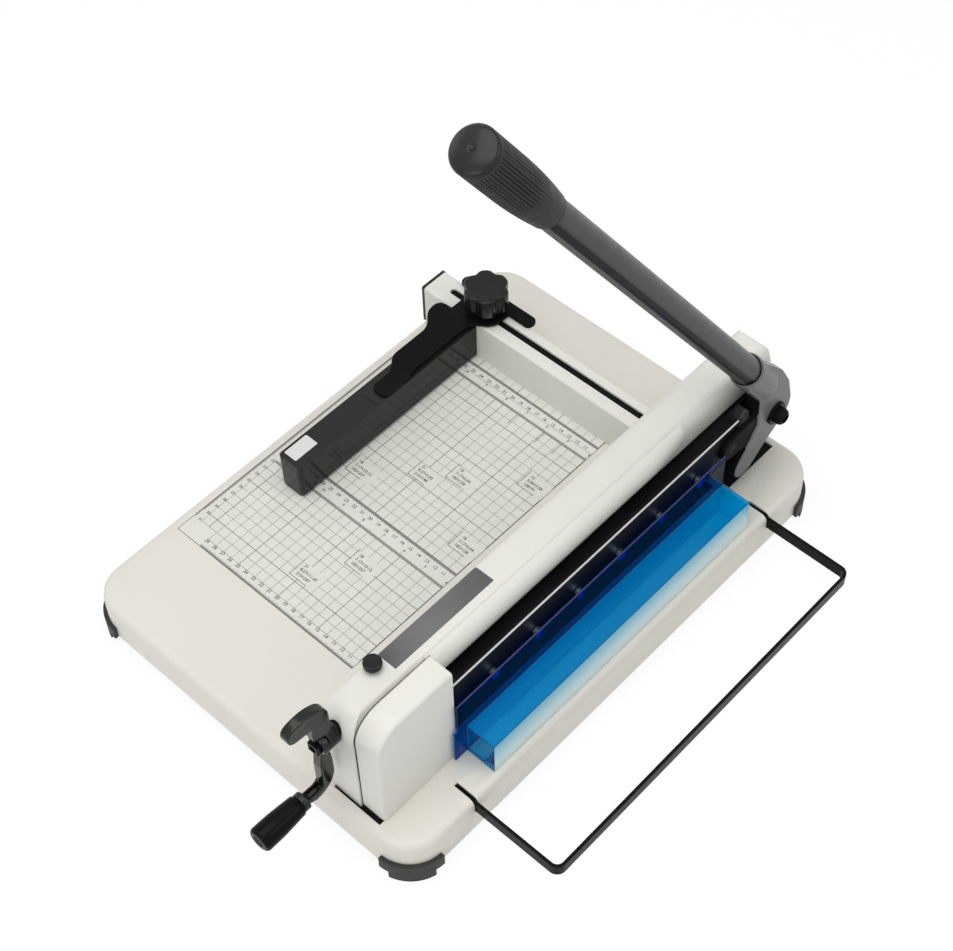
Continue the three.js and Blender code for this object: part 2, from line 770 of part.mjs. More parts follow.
// Hub casting: head round the pivot, arm below, lobe to the knife's pin and socket for the bar
function leverHub() {
  const armAngle = hubArmDegrees * radians;
  const tipY = pivotY + hubArmReach * Math.cos(armAngle);
  const tipZ = pivotHeight + hubArmReach * Math.sin(armAngle);
  const bulgeY = pivotY + hubBulgeReach * Math.cos(armAngle);
  const bulgeZ = pivotHeight + hubBulgeReach * Math.sin(armAngle);
  const arm = alongX(
    strap(bulgeY, bulgeZ, hubBulgeRadius, tipY, tipZ, hubArmRadius), hubInnerX, hubOuterX, castSteps);
  const head = alongX(
    strap(pivotY, pivotHeight, hubHeadRadius, bulgeY, bulgeZ, hubBulgeRadius), hubInnerX, hubOuterX, hubSteps);
  const lobeX = carrierThickness + runGap;
  const lobe = alongX(
    strap(pivotY, pivotHeight, lobeRootRadius, pinY, pinZ, lobeTipRadius),
    lobeX, lobeX + lobeThickness, hubSteps);
  const across = new THREE.Vector3(0, leverDirection.z, -leverDirection.y);
  const shoulder = leverFoot.clone()
    .addScaledVector(leverDirection, hubShoulderAlong)
    .addScaledVector(across, hubShoulderAcross);
  const collar = leverFoot.clone().addScaledVector(leverDirection, socketReach - hubArmRadius);
  const neck = alongX(
    strap(pivotY, pivotHeight, hubHeadRadius, shoulder.y, shoulder.z, hubShoulderRadius),
    hubInnerX, hubOuterX, hubSteps);
  const spine = alongX(
    strap(shoulder.y, shoulder.z, hubShoulderRadius, collar.y, collar.z, hubArmRadius),
    hubInnerX, hubOuterX, castSteps);
  const socket = ontoLever(turned([
    [0, 0],
    [socketRadius / 2, 0],
    [socketRadius, socketTaper],
    [socketRadius, socketLength],
    [0, socketLength],
  ], fine), socketReach - socketLength);
  const bore = ontoLever(turned([
    [0, 0],
    [barRootRadius + seatGap, 0],
    [barRootRadius + seatGap, socketDepth + cutOverrun],
    [0, socketDepth + cutOverrun],
  ], fine), socketReach - socketDepth);
  const pinBore = barX(pinY, pinZ, carrierPinRadius + seatGap, lobeX - cutOverrun,
    lobeX + lobeThickness + cutOverrun);
  const pivotBore = barX(pivotY, pivotHeight, pivotBoltRadius + seatGap, hubInnerX - cutOverrun,
    hubOuterX + cutOverrun);
  return socket
    .add(head)
    .add(neck)
    .add(arm)
    .add(spine)
    .add(lobe)
    .subtract(bore)
    .subtract(pinBore)
    .subtract(pivotBore);
}

// Tapered bar, seated at the bottom of its socket
function leverBar() {
  const start = socketReach - socketDepth + seatGap;
  return ontoLever(turned([
    [0, 0],
    [barRootRadius, 0],
    [barRootRadius, socketDepth],
    [barTipRadius, barLength],
    [0, barLength],
  ], medium), start);
}

// Ribbed grip pushed over the tip of the bar, with a domed end
function leverGrip() {
  const start = socketReach - socketDepth + seatGap + barLength - gripOverlap;
  const steps = gripRibs * 2;
  const ring = (radius, rib) => {
    const points = [];
    for (let i = 0; i < steps; i += 1) {
      const angle = (i / steps) * 2 * Math.PI;
      const r = radius - (i % 2 === 0 ? 0 : rib);
      points.push([r * Math.cos(angle), r * Math.sin(angle)]);
    }
    return points;
  };
  const ribbedEnd = gripLength - gripDome;
  const sections = [
    [0, ring(gripNeckRadius, 0)],
    [gripTaper * gripPlainShare, ring(gripNeckRadius, 0)],
    [gripTaper, ring(gripNeckRadius + (gripRadius - gripNeckRadius) * gripSwellShare, gripRibDepth)],
    [gripTaper * 2, ring(gripRadius, gripRibDepth)],
    [ribbedEnd - gripDome, ring(gripRadius, gripRibDepth)],
    [ribbedEnd - gripDome / 2, ring(gripRadius, 0)],
    [ribbedEnd, ring(gripRadius, 0)],
    ...gripDomeShares.map(([rise, width]) => [ribbedEnd + gripDome * rise, ring(gripRadius * width, 0)]),
  ];
  const body = ontoLever(loft(sections), start);
  const bore = ontoLever(turned([
    [0, -cutOverrun],
    [barTipRadius + seatGap + gripBoreFlare, -cutOverrun],
    [barTipRadius + seatGap, gripOverlap + seatGap],
    [0, gripOverlap + seatGap],
  ], medium), start);
  return body.subtract(bore);
}

// A closed skin over a stack of equal rings, each at its own height
function loft(sections) {
  const count = sections[0][1].length;
  const positions = [];
  const index = [];
  for (const [height, points] of sections) {
    for (const [x, y] of points) {
      positions.push(x, y, height);
    }
  }
  const bottom = positions.length / 3;
  positions.push(0, 0, sections[0][0]);
  positions.push(0, 0, sections[sections.length - 1][0]);
  const top = bottom + 1;
  const last = (sections.length - 1) * count;
  for (let i = 0; i < count; i += 1) {
    const next = (i + 1) % count;
    index.push(bottom, next, i);
    index.push(top, last + i, last + next);
    for (let s = 0; s < sections.length - 1; s += 1) {
      const a = s * count + i;
      const b = s * count + next;
      index.push(a, b, b + count);
      index.push(a, b + count, a + count);
    }
  }
  const geometry = new THREE.BufferGeometry();
  geometry.setAttribute('position', new THREE.BufferAttribute(new Float32Array(positions), 3));
  geometry.setIndex(index);
  return geometry;
}

// A regular prism along X, such as a nut or a hexagon socket
function hexX(y, z, radius, x0, x1) {
  return barX(y, z, radius, x0, x1, 6);
}

function pivotBolt() {
  const headStart = hubOuterX + seatGap + pivotWasherThickness + seatGap;
  const shankEnd = frameBackX - seatGap - pivotNutHeight - pivotThreadProud;
  const dome = turned([
    [0, 0],
    ...pivotHeadShares.map(([width, rise]) => [pivotHeadRadius * width, pivotHeadHeight * rise]),
    [0, pivotHeadHeight],
  ], medium);
  dome.rotateY(Math.PI / 2);
  dome.translate(headStart, pivotY, pivotHeight);
  const shank = barX(pivotY, pivotHeight, pivotBoltRadius, shankEnd, headStart + cutOverrun);
  const key = hexX(pivotY, pivotHeight, pivotSocketAcross / Math.sqrt(3),
    headStart + pivotHeadHeight - pivotSocketDepth, headStart + pivotHeadHeight + cutOverrun);
  return solid(dome).add(shank).subtract(key);
}

function pivotWasher() {
  const start = hubOuterX + seatGap;
  const end = start + pivotWasherThickness;
  return barX(pivotY, pivotHeight, pivotWasherRadius, start, end).subtract(
    barX(pivotY, pivotHeight, pivotBoltRadius + seatGap, start - cutOverrun, end + cutOverrun),
  );
}

function pivotNut() {
  const end = frameBackX - seatGap;
  return hexX(pivotY, pivotHeight, pivotNutRadius, end - pivotNutHeight, end).subtract(
    barX(pivotY, pivotHeight, pivotBoltRadius + seatGap, end - pivotNutHeight - cutOverrun, end + cutOverrun),
  );
}

// Knife carrier, with the blade let into its inner face
function knifeCarrier() {
  const bottom = carrierTop - carrierHeight;
  const near = nearPinY - carrierNearReach;
  const far = pinY + carrierFarReach;
  const recess = bladeThickness + seatGap;
  const recessTop = bladeTop + seatGap;
  const edgeRound = bladeThickness / 2;
  const section = outline([
    [0, carrierTop],
    [0, bottom],
    [carrierThickness, bottom],
    [carrierThickness, carrierTop - edgeRound / 2],
    [carrierThickness - edgeRound / 2, carrierTop],
  ]);
  let body = alongY(section, near, far);
  body = body.subtract(block(-cutOverrun, recess, bladeNearY - seatGap, bladeFarY + seatGap,
    bottom - cutOverrun, recessTop));
  for (const y of bladeBoltPlaces()) {
    body = body.subtract(barX(y, bladeBoltHeight, bladeBoltRadius + seatGap, 0, carrierThickness + cutOverrun,
      coarse));
  }
  body = body.subtract(barX(pinY, pinZ, carrierPinRadius + seatGap, blindWall, carrierThickness + cutOverrun));
  body = body.subtract(barX(nearPinY, pinZ, rollerPinRadius + seatGap, -cutOverrun,
    carrierThickness - rollerPinWall));
  return body;
}

function bladeBoltPlaces() {
  const pitch = (bladeFarY - bladeBoltFarInset - bladeBoltFirst) / (bladeBoltCount - 1);
  return Array.from({ length: bladeBoltCount }, (_, i) => bladeBoltFirst + i * pitch);
}

function blade() {
  const section = outline([
    [0, bladeTop],
    [0, bladeEdgeHeight],
    [bladeEdgeLand, bladeEdgeHeight],
    [bladeThickness, bladeEdgeHeight + bladeBevel],
    [bladeThickness, bladeTop],
  ]);
  let body = alongY(section, bladeNearY, bladeFarY);
  for (const y of bladeBoltPlaces()) {
    body = body.subtract(barX(y, bladeBoltHeight, bladeBoltRadius + seatGap, blindWall,
      bladeThickness + cutOverrun, coarse));
  }
  return body;
}

function bladeBolt(y) {
  const head = barX(y, bladeBoltHeight, bladeBoltHeadRadius, carrierThickness + seatGap,
    carrierThickness + seatGap + bladeBoltHeadHeight, coarse);
  const shank = barX(y, bladeBoltHeight, bladeBoltRadius, blindWall + seatGap, carrierThickness + cutOverrun,
    coarse);
  const outer = carrierThickness + seatGap + bladeBoltHeadHeight;
  const key = hexX(y, bladeBoltHeight, bladeBoltSocketRadius, outer - bladeBoltSocketDepth, outer + cutOverrun);
  return head.add(shank).subtract(key);
}

function carrierPin() {
  const end = carrierThickness + runGap + lobeThickness;
  return barX(pinY, pinZ, carrierPinRadius, blindWall + seatGap, end);
}

// Roller on its own pin, running in the frame's arc
function guideRoller() {
  const roller = barX(nearPinY, pinZ, rollerRadius, -rollerReach, -seatGap);
  const pin = barX(nearPinY, pinZ, rollerPinRadius, -seatGap - cutOverrun,
    carrierThickness - rollerPinWall - seatGap);
  return roller.add(pin);
}

// Cover over the near end of the knife: outer face, near wall and top, open towards the frame
function nearCover() {
  const side = (inset) => {
    const near = coverNearY + inset;
    const far = coverFarY;
    const top = coverHeight - inset;
    const radius = coverRound - inset;
    const shape = new THREE.Shape();
    shape.moveTo(near, seatGap);
    shape.lineTo(far, seatGap);
    shape.lineTo(far, top);
    shape.lineTo(near + radius, top);
    shape.absarc(near + radius, top - radius, radius, Math.PI / 2, Math.PI, false);
    return shape;
  };
  const bevel = new THREE.ExtrudeGeometry(side(coverEdgeRound), {
    depth: coverWidth - coverEdgeRound * 2,
    bevelEnabled: true,
    bevelThickness: coverEdgeRound,
    bevelSize: coverEdgeRound,
    bevelSegments: edgeSteps - 1,
    curveSegments: coverSteps,
  });
  bevel.applyMatrix4(new THREE.Matrix4().makeBasis(
    new THREE.Vector3(0, 1, 0),
    new THREE.Vector3(0, 0, 1),
    new THREE.Vector3(1, 0, 0),
  ));
  const left = beamRightX + coverBeamGap;
  const right = left + coverWidth;
  bevel.translate(left + coverEdgeRound, 0, 0);
  const rounded = solid(bevel);
  const plain = alongX(side(0), left, right - coverEdgeRound, coverSteps);
  const clip = block(left - cutOverrun, right + cutOverrun, coverNearY - cutOverrun, coverFarY, seatGap,
    coverHeight + cutOverrun);
  const outside = rounded.add(plain).intersect(clip);
  const inside = alongX(side(coverWall), left - cutOverrun, right - coverWall, coverSteps);
  const openFar = block(left - cutOverrun, right - coverWall, coverFarY - coverWall, coverFarY + cutOverrun,
    -cutOverrun, coverHeight - coverWall);
  const openBottom = block(left - cutOverrun, right - coverWall, coverNearY + coverWall, coverFarY + cutOverrun,
    -cutOverrun, coverWall);
  return outside.subtract(inside).subtract(openFar).subtract(openBottom);
}

// Clear guard: tall back plate, trough in front of it with closed ends, two inner feet
function bladeGuard() {
  const back = guardBackX + guardWall;
  const front = guardBackX + guardDepth;
  const near = -guardNear;
  const far = bladeFarY;
  const outside = block(guardBackX, front, near, far, seatGap, guardHeight);
  const inside = block(back, front - guardWall, near + guardWall, far - guardWall,
    seatGap - cutOverrun, guardHeight - guardWall);
  const plate = block(guardBackX, back, near - guardPlateReach, far, seatGap, guardBackHeight);
  const tab = block(guardBackX, back, near - guardTabLength, near + cutOverrun, seatGap, guardTabHeight);
  let guard = outside.subtract(inside).add(plate).add(tab);
  for (const y of [near + guardWall, far - guardWall - guardFoot]) {
    guard = guard.add(block(front - guardWall - guardFoot, front - guardWall / 2, y - guardWall / 2,
      y + guardFoot + guardWall / 2, seatGap, seatGap + guardFootHeight));
  }
  for (const y of guardScrewPlaces()) {
    guard = guard.subtract(barZ(guardScrewX(), y, guardScrewRadius + seatGap, seatGap - cutOverrun,
      seatGap + guardHoleDepth, coarse));
  }
  return guard;
}

function guardScrewX() {
  return guardBackX + guardDepth - guardWall - guardFoot / 2;
}

function guardScrewPlaces() {
  return [guardFoot / 2, bladeFarY - guardWall - guardFoot / 2];
}

// Screw from under the pan into a foot of the guard
function guardScrew(y) {
  const headTop = -panWall - seatGap;
  const head = barZ(guardScrewX(), y, guardScrewHeadRadius, headTop - guardScrewHeadHeight, headTop, coarse);
  const shank = barZ(guardScrewX(), y, guardScrewRadius, headTop - cutOverrun, seatGap + guardWall, coarse);
  return head.add(shank);
}

// Paper stop: a channel open below, with the slot that the side guide's stud runs in
function paperStop() {
  const left = leftX;
  const right = beamLeftX - seatGap;
  const far = stopY + stopDepth;
  const outside = alongX(roundedTop(stopY, far, seatGap, stopHeight, stopWall), left, right, edgeSteps);
  const inside = block(left - cutOverrun, right + cutOverrun, stopY + stopWall, far - stopWall,
    seatGap - cutOverrun, stopHeight - stopWall);
  const slot = alongZ(
    roundRect(leftX + stopSlotLeftInset, -stopSlotRight, stopY + stopSlotInset,
      stopY + stopSlotInset + stopSlotWidth, stopSlotWidth / 2 - stopSlotEndFlat),
    stopHeight - stopWall - cutOverrun, stopHeight + cutOverrun, cornerSteps);
  return outside.subtract(inside).subtract(slot);
}

// An upright rectangle in Y and Z with rounded upper corners
function roundedTop(y0, y1, z0, z1, radius) {
  const shape = new THREE.Shape();
  shape.moveTo(y0, z0);
  shape.lineTo(y1, z0);
  shape.lineTo(y1, z1 - radius);
  shape.absarc(y1 - radius, z1 - radius, radius, 0, Math.PI / 2, false);
  shape.lineTo(y0 + radius, z1);
  shape.absarc(y0 + radius, z1 - radius, radius, Math.PI / 2, Math.PI, false);
  return shape;
}

// Side guide block, drawn in a little towards its foot and stepped along its left top edge
function guideBlock() {
  const right = guideLeftX + guideWidth;
  const bottom = runGap;
  const top = bottom + guideHeight;
  const section = outline([
    [guideLeftX + guideTaper, bottom],
    [right - guideTaper, bottom],
    [right, bottom + guideTaperHeight],
    [right, top],
    [guideLeftX + guideStepWidth, top],
    [guideLeftX + guideStepWidth, top - guideStepDrop],
    [guideLeftX, top - guideStepDrop],
    [guideLeftX, bottom + guideTaperHeight],
  ]);
  return alongY(section, guideNearY, stopY - runGap);
}

// The arm seen from above: narrow end on the block, a bump on the left, a flare on the right under the knob
function armPlan() {
  const left = guideLeftX - armOverhang;
  const right = left + armWidth;
  const endLeft = guideLeftX + armEndInset;
  const endRight = endLeft + armEndWidth;
  const near = stopY - armNearReach;
  const bendNear = stopY - armBendNear;
  const bendFar = stopY - armBendFar;
  const bendMiddle = (bendNear + bendFar) / 2;
  const bumpX = left - armBumpReach;
  const bumpNear = stopY - armBumpNear;
  const bumpPeak = stopY - armBumpPeak;
  const bumpFar = stopY - armBumpFar;
  const flareNear = stopY - armFlareNear;
  const flareX = right + armFlareReach;
  const far = stopY + stopDepth;
  const shape = new THREE.Shape();
  shape.moveTo(endLeft + armEndRound, near);
  shape.lineTo(endRight - armEndRound, near);
  shape.quadraticCurveTo(endRight, near, endRight, near + armEndRound);
  shape.lineTo(endRight, bendNear);
  shape.bezierCurveTo(endRight, bendMiddle, right, bendMiddle, right, bendFar);
  shape.lineTo(right, flareNear);
  shape.bezierCurveTo(right, stopY, flareX, stopY - armBumpFar, flareX, knobY());
  shape.lineTo(flareX, far);
  shape.lineTo(left, far);
  shape.lineTo(left, bumpFar);
  shape.bezierCurveTo(left - armBumpReach / 2, bumpFar, bumpX, bumpFar, bumpX, bumpPeak);
  shape.bezierCurveTo(bumpX, (bumpPeak + bumpNear) / 2, left, (bumpPeak + bumpNear) / 2, left, bumpNear);
  shape.lineTo(left, bendFar);
  shape.bezierCurveTo(left, bendMiddle, endLeft, bendMiddle, endLeft, bendNear);
  shape.lineTo(endLeft, near + armEndRound);
  shape.quadraticCurveTo(endLeft, near, endLeft + armEndRound, near);
  return shape;
}

function armTop() {
  return stopHeight + seatGap + armBarThickness;
}

// Pressed arm from the block up over the paper stop, with a thick bar and a boss that rest on the stop
function guideArm() {
  const lowZ = runGap + guideHeight + seatGap;
  const top = armTop();
  const padZ = top - armThickness;
  const barZ0 = stopHeight + seatGap;
  const near = stopY - armNearReach - cutOverrun;
  const far = stopY + stopDepth + armBarOverhang;
  const bendNear = stopY - armBendNear;
  const bendFar = stopY - armBendFar;
  const bend = alongX(outline([
    [near, lowZ],
    [bendNear, lowZ],
    [bendFar, padZ],
    [far, padZ],
    [far, top],
    [bendFar, top],
    [bendNear, lowZ + armThickness],
    [near, lowZ + armThickness],
  ]), guideLeftX - armBarWidth, guideLeftX + armBarWidth);
  const plate = alongZ(armPlan(), lowZ - cutOverrun, top + cutOverrun, castSteps).intersect(bend);
  const bar = alongZ(
    roundRect(knobX() - armBarWidth / 2, knobX() + armBarWidth / 2, far - armBarDepth, far, armBarRound),
    barZ0, top, cornerSteps);
  const boss = barZ(knobX(), knobY(), knobCollarRadius, barZ0, top);
  const studHole = barZ(knobX(), knobY(), studRadius + seatGap, barZ0 - cutOverrun, top + cutOverrun);
  return plate.add(bar).add(boss).subtract(studHole);
}

function knobX() {
  return guideLeftX + knobInset;
}

function knobY() {
  return stopY + stopSlotInset + stopSlotWidth / 2;
}

// Lobed hand knob with a collar underneath
function guideKnob() {
  const shape = new THREE.Shape();
  const steps = knobLobes * 8;
  for (let i = 0; i < steps; i += 1) {
    const angle = (i / steps) * 2 * Math.PI;
    const wave = (1 - Math.cos(angle * knobLobes)) / 2;
    const radius = knobRadius - knobEdgeRound - knobLobeDepth * wave ** 2;
    const plan = angle + knobTurnedDegrees * radians;
    const x = radius * Math.cos(plan);
    const y = radius * Math.sin(plan);
    if (i === 0) {
      shape.moveTo(x, y);
    } else {
      shape.lineTo(x, y);
    }
  }
  const head = new THREE.ExtrudeGeometry(shape, {
    depth: knobHeight - knobEdgeRound * 2,
    bevelEnabled: true,
    bevelThickness: knobEdgeRound,
    bevelSize: knobEdgeRound,
    bevelSegments: 2,
  });
  const bottom = armTop() + seatGap;
  head.translate(knobX(), knobY(), bottom + knobCollarHeight + knobEdgeRound);
  const collar = barZ(knobX(), knobY(), knobCollarRadius, bottom, bottom + knobCollarHeight + cutOverrun);
  const hole = barZ(knobX(), knobY(), studRadius + seatGap, bottom - cutOverrun,
    bottom + studHeadDepth + seatGap);
  return solid(head).add(collar).subtract(hole);
}

function knobStud() {
  const bottom = armTop() + seatGap;
  const end = stopHeight - stopWall - runGap - nutPlateThickness - runGap * 2;
  return barZ(knobX(), knobY(), studRadius, end, bottom + studHeadDepth, coarse);
}

function nutPlate() {
  const top = stopHeight - stopWall - runGap;
  const half = nutPlateSide / 2;
  const bottom = top - nutPlateThickness;
  return block(knobX() - half, knobX() + half, knobY() - half, knobY() + half, bottom, top)
    .subtract(barZ(knobX(), knobY(), studRadius + seatGap, bottom - cutOverrun, top + cutOverrun, coarse));
}

// Points of an involute gear's outline, with its teeth thinned by the backlash
function gearShape(teeth, module, turn) {
  const pressure = pressureDegrees * radians;
  const pitch = (teeth * module) / 2;
  const base = pitch * Math.cos(pressure);
  const tip = pitch + module * toothTipShare;
  const root = pitch - module * toothRootShare;
  const involute = (angle) => Math.tan(angle) - angle;
  const halfTooth = Math.PI / (2 * teeth) - toothBacklash / (2 * pitch);
  const shape = new THREE.Shape();
  const flank = [];
  const steps = 4;
  for (let i = 0; i <= steps; i += 1) {
    const radius = Math.max(base, root) + ((tip - Math.max(base, root)) * i) / steps;
    const angle = Math.acos(Math.min(1, base / radius));
    flank.push([radius, halfTooth + involute(pressure) - involute(angle)]);
  }
  let first = true;
  for (let tooth = 0; tooth < teeth; tooth += 1) {
    const middle = turn + (tooth / teeth) * 2 * Math.PI;
    const points = [
      [root, middle - flank[0][1]],
      ...flank.map(([radius, angle]) => [radius, middle - angle]),
      ...[...flank].reverse().map(([radius, angle]) => [radius, middle + angle]),
      [root, middle + flank[0][1]],
    ];
    for (const [radius, angle] of points) {
      const x = radius * Math.cos(angle);
      const y = radius * Math.sin(angle);
      if (first) {
        shape.moveTo(x, y);
        first = false;
      } else {
        shape.lineTo(x, y);
      }
    }
  }
  return shape;
}

// A gear on an axis along Y, bored for its shaft
function gear(teeth, module, turn, x, z, y0, y1, bore) {
  const body = alongY(gearShape(teeth, module, turn), y0, y1).translate([x, 0, z]);
  return body.subtract(barY(x, z, bore + seatGap, y0 - cutOverrun, y1 + cutOverrun));
}

function gearNearY() {
  return frameNearY + gearInset;
}

// The two equal gears just fill the distance between their axes, tooth against space
const gearModule = Math.hypot(crankAxisX - clampAxisX, gearDrop) / gearTeeth;
const gearLine = Math.atan2(gearDrop, crankAxisX - clampAxisX);

function axleGear() {
  const turn = gearLine + Math.PI;
  const near = gearNearY();
  return gear(gearTeeth, gearModule, turn, crankAxisX, axleHeight, near, near + gearWidth, axleRadius);
}

function shaftGear() {
  const turn = gearLine + Math.PI / gearTeeth;
  const near = gearNearY();
  return gear(gearTeeth, gearModule, turn, clampAxisX, shaftHeight, near, near + gearWidth, shaftRadius);
}

function clampShaft() {
  return barY(clampAxisX, shaftHeight, shaftRadius, frameNearY + bracketNearInset - bracketThickness,
    bracketFarY + bracketThickness * 2);
}

// A pinion of the clamp, with one tooth pointing straight at its rack
function pinion(y) {
  return gear(pinionTeeth, pinionModule, Math.PI, clampAxisX, shaftHeight, y, y + pinionWidth, shaftRadius);
}

// Toothed bar on the left of its pinion, with its tooth spaces set round the pinion's tooth
function rack(y) {
  const lean = Math.tan(pressureDegrees * radians);
  const tipX = rackPitchX + pinionModule * toothTipShare;
  const step = Math.PI * pinionModule;
  const half = step / 4 - toothBacklash / 2;
  const bottom = clampLipTop + clampBodyHeight - cutOverrun;
  const points = [[rackBackX, bottom], [rackRootX, bottom]];
  const firstTooth = Math.ceil((bottom + step - shaftHeight) / step - 0.5);
  const lastTooth = Math.floor((rackTop - step / 2 - shaftHeight) / step - 0.5);
  for (let tooth = firstTooth; tooth <= lastTooth; tooth += 1) {
    const middle = shaftHeight + (tooth + 0.5) * step;
    points.push([rackRootX, middle - half - (rackPitchX - rackRootX) * lean]);
    points.push([tipX, middle - half + (tipX - rackPitchX) * lean]);
    points.push([tipX, middle + half - (tipX - rackPitchX) * lean]);
    points.push([rackRootX, middle + half + (rackPitchX - rackRootX) * lean]);
  }
  points.push([rackRootX, rackTop]);
  points.push([rackBackX + rackBack / 2, rackTop]);
  points.push([rackBackX, rackTop - rackBack / 2]);
  return alongY(outline(points), y, y + pinionWidth);
}

// Pressing plate with its front lip close to the cutting line, made in one with its two racks
function clampPlate() {
  const near = throatNearY + clampEndGap;
  const far = throatFarY - clampEndGap;
  const lip = block(clampLeftX, -clampLipRight, near, far, clampRestHeight, clampLipTop);
  const body = block(clampLeftX, frameBackX - runGap, near, far, clampLipTop - cutOverrun,
    clampLipTop + clampBodyHeight);
  return lip.add(body);
}

function clampRack(y) {
  const top = clampLipTop + clampBodyHeight;
  return rack(y).subtract(block(clampLeftX - cutOverrun, clampAxisX, y - cutOverrun,
    y + pinionWidth + cutOverrun, top - 2 * cutOverrun, top + seatGap));
}

// Bearing block on the back of the frame, bored for the shafts that pass through it
function shaftBracket(y, withAxle) {
  const right = frameBackX - seatGap;
  const left = clampAxisX - axleRadius - bracketThickness;
  const bottom = shaftHeight - bracketDrop;
  const top = withAxle ? axleHeight + bracketRise : shaftHeight + axleRadius + bracketThickness;
  const shoulder = Math.min(top, frameTop);
  const shape = outline([
    [left, bottom],
    [right, bottom],
    [right, shoulder],
    [clampAxisX + axleRadius + bracketThickness / 2, top],
    [left, top],
  ]);
  let body = alongY(shape, y, y + bracketThickness);
  body = body.subtract(barY(clampAxisX, shaftHeight, shaftRadius + seatGap, y - cutOverrun,
    y + bracketThickness + cutOverrun));
  if (withAxle) {
    body = body.subtract(barY(crankAxisX, axleHeight, axleRadius + seatGap, y - cutOverrun,
      y + bracketThickness + cutOverrun));
  }
  return body;
}

// Far ends of the crank's parts along the axle, each in front of the one before
const paddleFarY = beamNearY - runGap;
const crankFarY = paddleFarY - paddleHubLength - seatGap;
const crankNearY = crankFarY - crankHubLength;
const gripFarY = beamNearY - crankReach;
const gripZ = axleHeight - crankDrop;

// Paddle opposite the handle, for a quick half turn, on its own hub behind the crank's
function crankPaddle() {
  const upperHub = strap(crankAxisX, axleHeight, paddleHubRadius, crankAxisX, axleHeight + paddleHubTipRise,
    paddleHubTipRadius);
  const lowerHub = strap(crankAxisX, axleHeight, paddleHubRadius, crankAxisX, axleHeight - paddleHubTipRise,
    paddleHubTipRadius);
  const hub = alongY(upperHub, crankFarY + seatGap, paddleFarY, panSteps).add(
    alongY(lowerHub, crankFarY + seatGap, paddleFarY, panSteps),
  );
  const far = beamNearY - paddleFaceGap;
  const near = far - paddleLength;
  const bottom = axleHeight + paddleRise;
  const top = bottom + paddleHeight;
  const shape = new THREE.Shape();
  shape.moveTo(far, axleHeight);
  shape.lineTo(far, bottom);
  shape.bezierCurveTo(far, top - paddleHeight / 3, far - paddleLength / 3, top,
    far - paddleLength * paddleCrestShare, top);
  shape.bezierCurveTo(near + paddleLength / 8, top, near, top - paddleHeight / 8, near,
    top - paddleHeight / 2);
  shape.bezierCurveTo(near, bottom - paddleHeight / 8, near + paddleLength / 5, bottom,
    far - paddleNeckWidth, bottom - paddleHeight / 8);
  shape.lineTo(far - paddleNeckWidth, axleHeight + crankHubRadius + paddleHeight / 3);
  shape.lineTo(crankFarY + seatGap, axleHeight + crankHubRadius + runGap);
  shape.lineTo(crankFarY + seatGap, axleHeight);
  const half = paddleThickness / 2;
  const paddle = alongX(shape, crankAxisX - half, crankAxisX + half, panSteps);
  const bore = barY(crankAxisX, axleHeight, axleRadius + seatGap, near, beamNearY);
  return paddle.add(hub).subtract(bore);
}

// Crank: hub, broad curved arm and the eye that the handle's pin goes through
function crankArm() {
  const hub = barY(crankAxisX, axleHeight, crankHubRadius, crankNearY, crankFarY);
  const bulgeY = beamNearY - crankBulgeGap;
  const waistY = bulgeY - crankWaist;
  const endTop = gripZ + crankEndRise;
  const endBottom = gripZ - crankEndDrop;
  const elbowZ = gripZ + crankElbowRise;
  const shoulderZ = axleHeight - crankHubRadius;
  const shape = new THREE.Shape();
  shape.moveTo(crankFarY, axleHeight);
  shape.lineTo(crankFarY, shoulderZ);
  shape.quadraticCurveTo(bulgeY, shoulderZ - crankElbowRound, bulgeY, elbowZ + crankElbowRound);
  shape.lineTo(bulgeY, elbowZ);
  shape.bezierCurveTo(bulgeY, gripZ + crankElbowRound, bulgeY - crankElbowRound, endBottom,
    bulgeY - crankElbow, endBottom);
  shape.lineTo(gripFarY, gripZ - crankEndRise);
  shape.lineTo(gripFarY, endTop);
  shape.lineTo(waistY - crankElbowRound, endTop - crankEndRise / 2);
  shape.quadraticCurveTo(waistY, endTop, waistY, endTop + crankElbowRound);
  shape.lineTo(waistY, elbowZ + crankElbowRise);
  shape.lineTo(crankNearY, axleHeight - crankHubRadius / 2);
  shape.lineTo(crankNearY, axleHeight);
  const half = crankThickness / 2;
  const hubRoom = block(crankAxisX - crankHubRadius, crankAxisX + crankHubRadius, crankFarY, beamNearY,
    axleHeight - paddleHubTipRise - paddleHubTipRadius - seatGap, axleHeight + crankHubRadius);
  const plate = alongX(shape, crankAxisX - half, crankAxisX + half, panSteps).subtract(hubRoom);
  const eye = barY(crankAxisX, gripZ, crankEyeRadius, gripFarY - crankEyeLength / 2,
    gripFarY + crankEyeLength / 2);
  const side = crankNutSide / 2 + seatGap;
  const bore = block(crankAxisX - side, crankAxisX + side, crankNearY - cutOverrun, crankFarY + cutOverrun,
    axleHeight - side, axleHeight + side);
  const pinHole = barY(crankAxisX, gripZ, gripPinRadius + seatGap, gripFarY - crankEyeLength,
    gripFarY + crankReach / 2, coarse);
  return plate.add(hub).add(eye).subtract(bore).subtract(pinHole);
}

function handleFarY() {
  return gripFarY - crankEyeLength / 2 - seatGap;
}

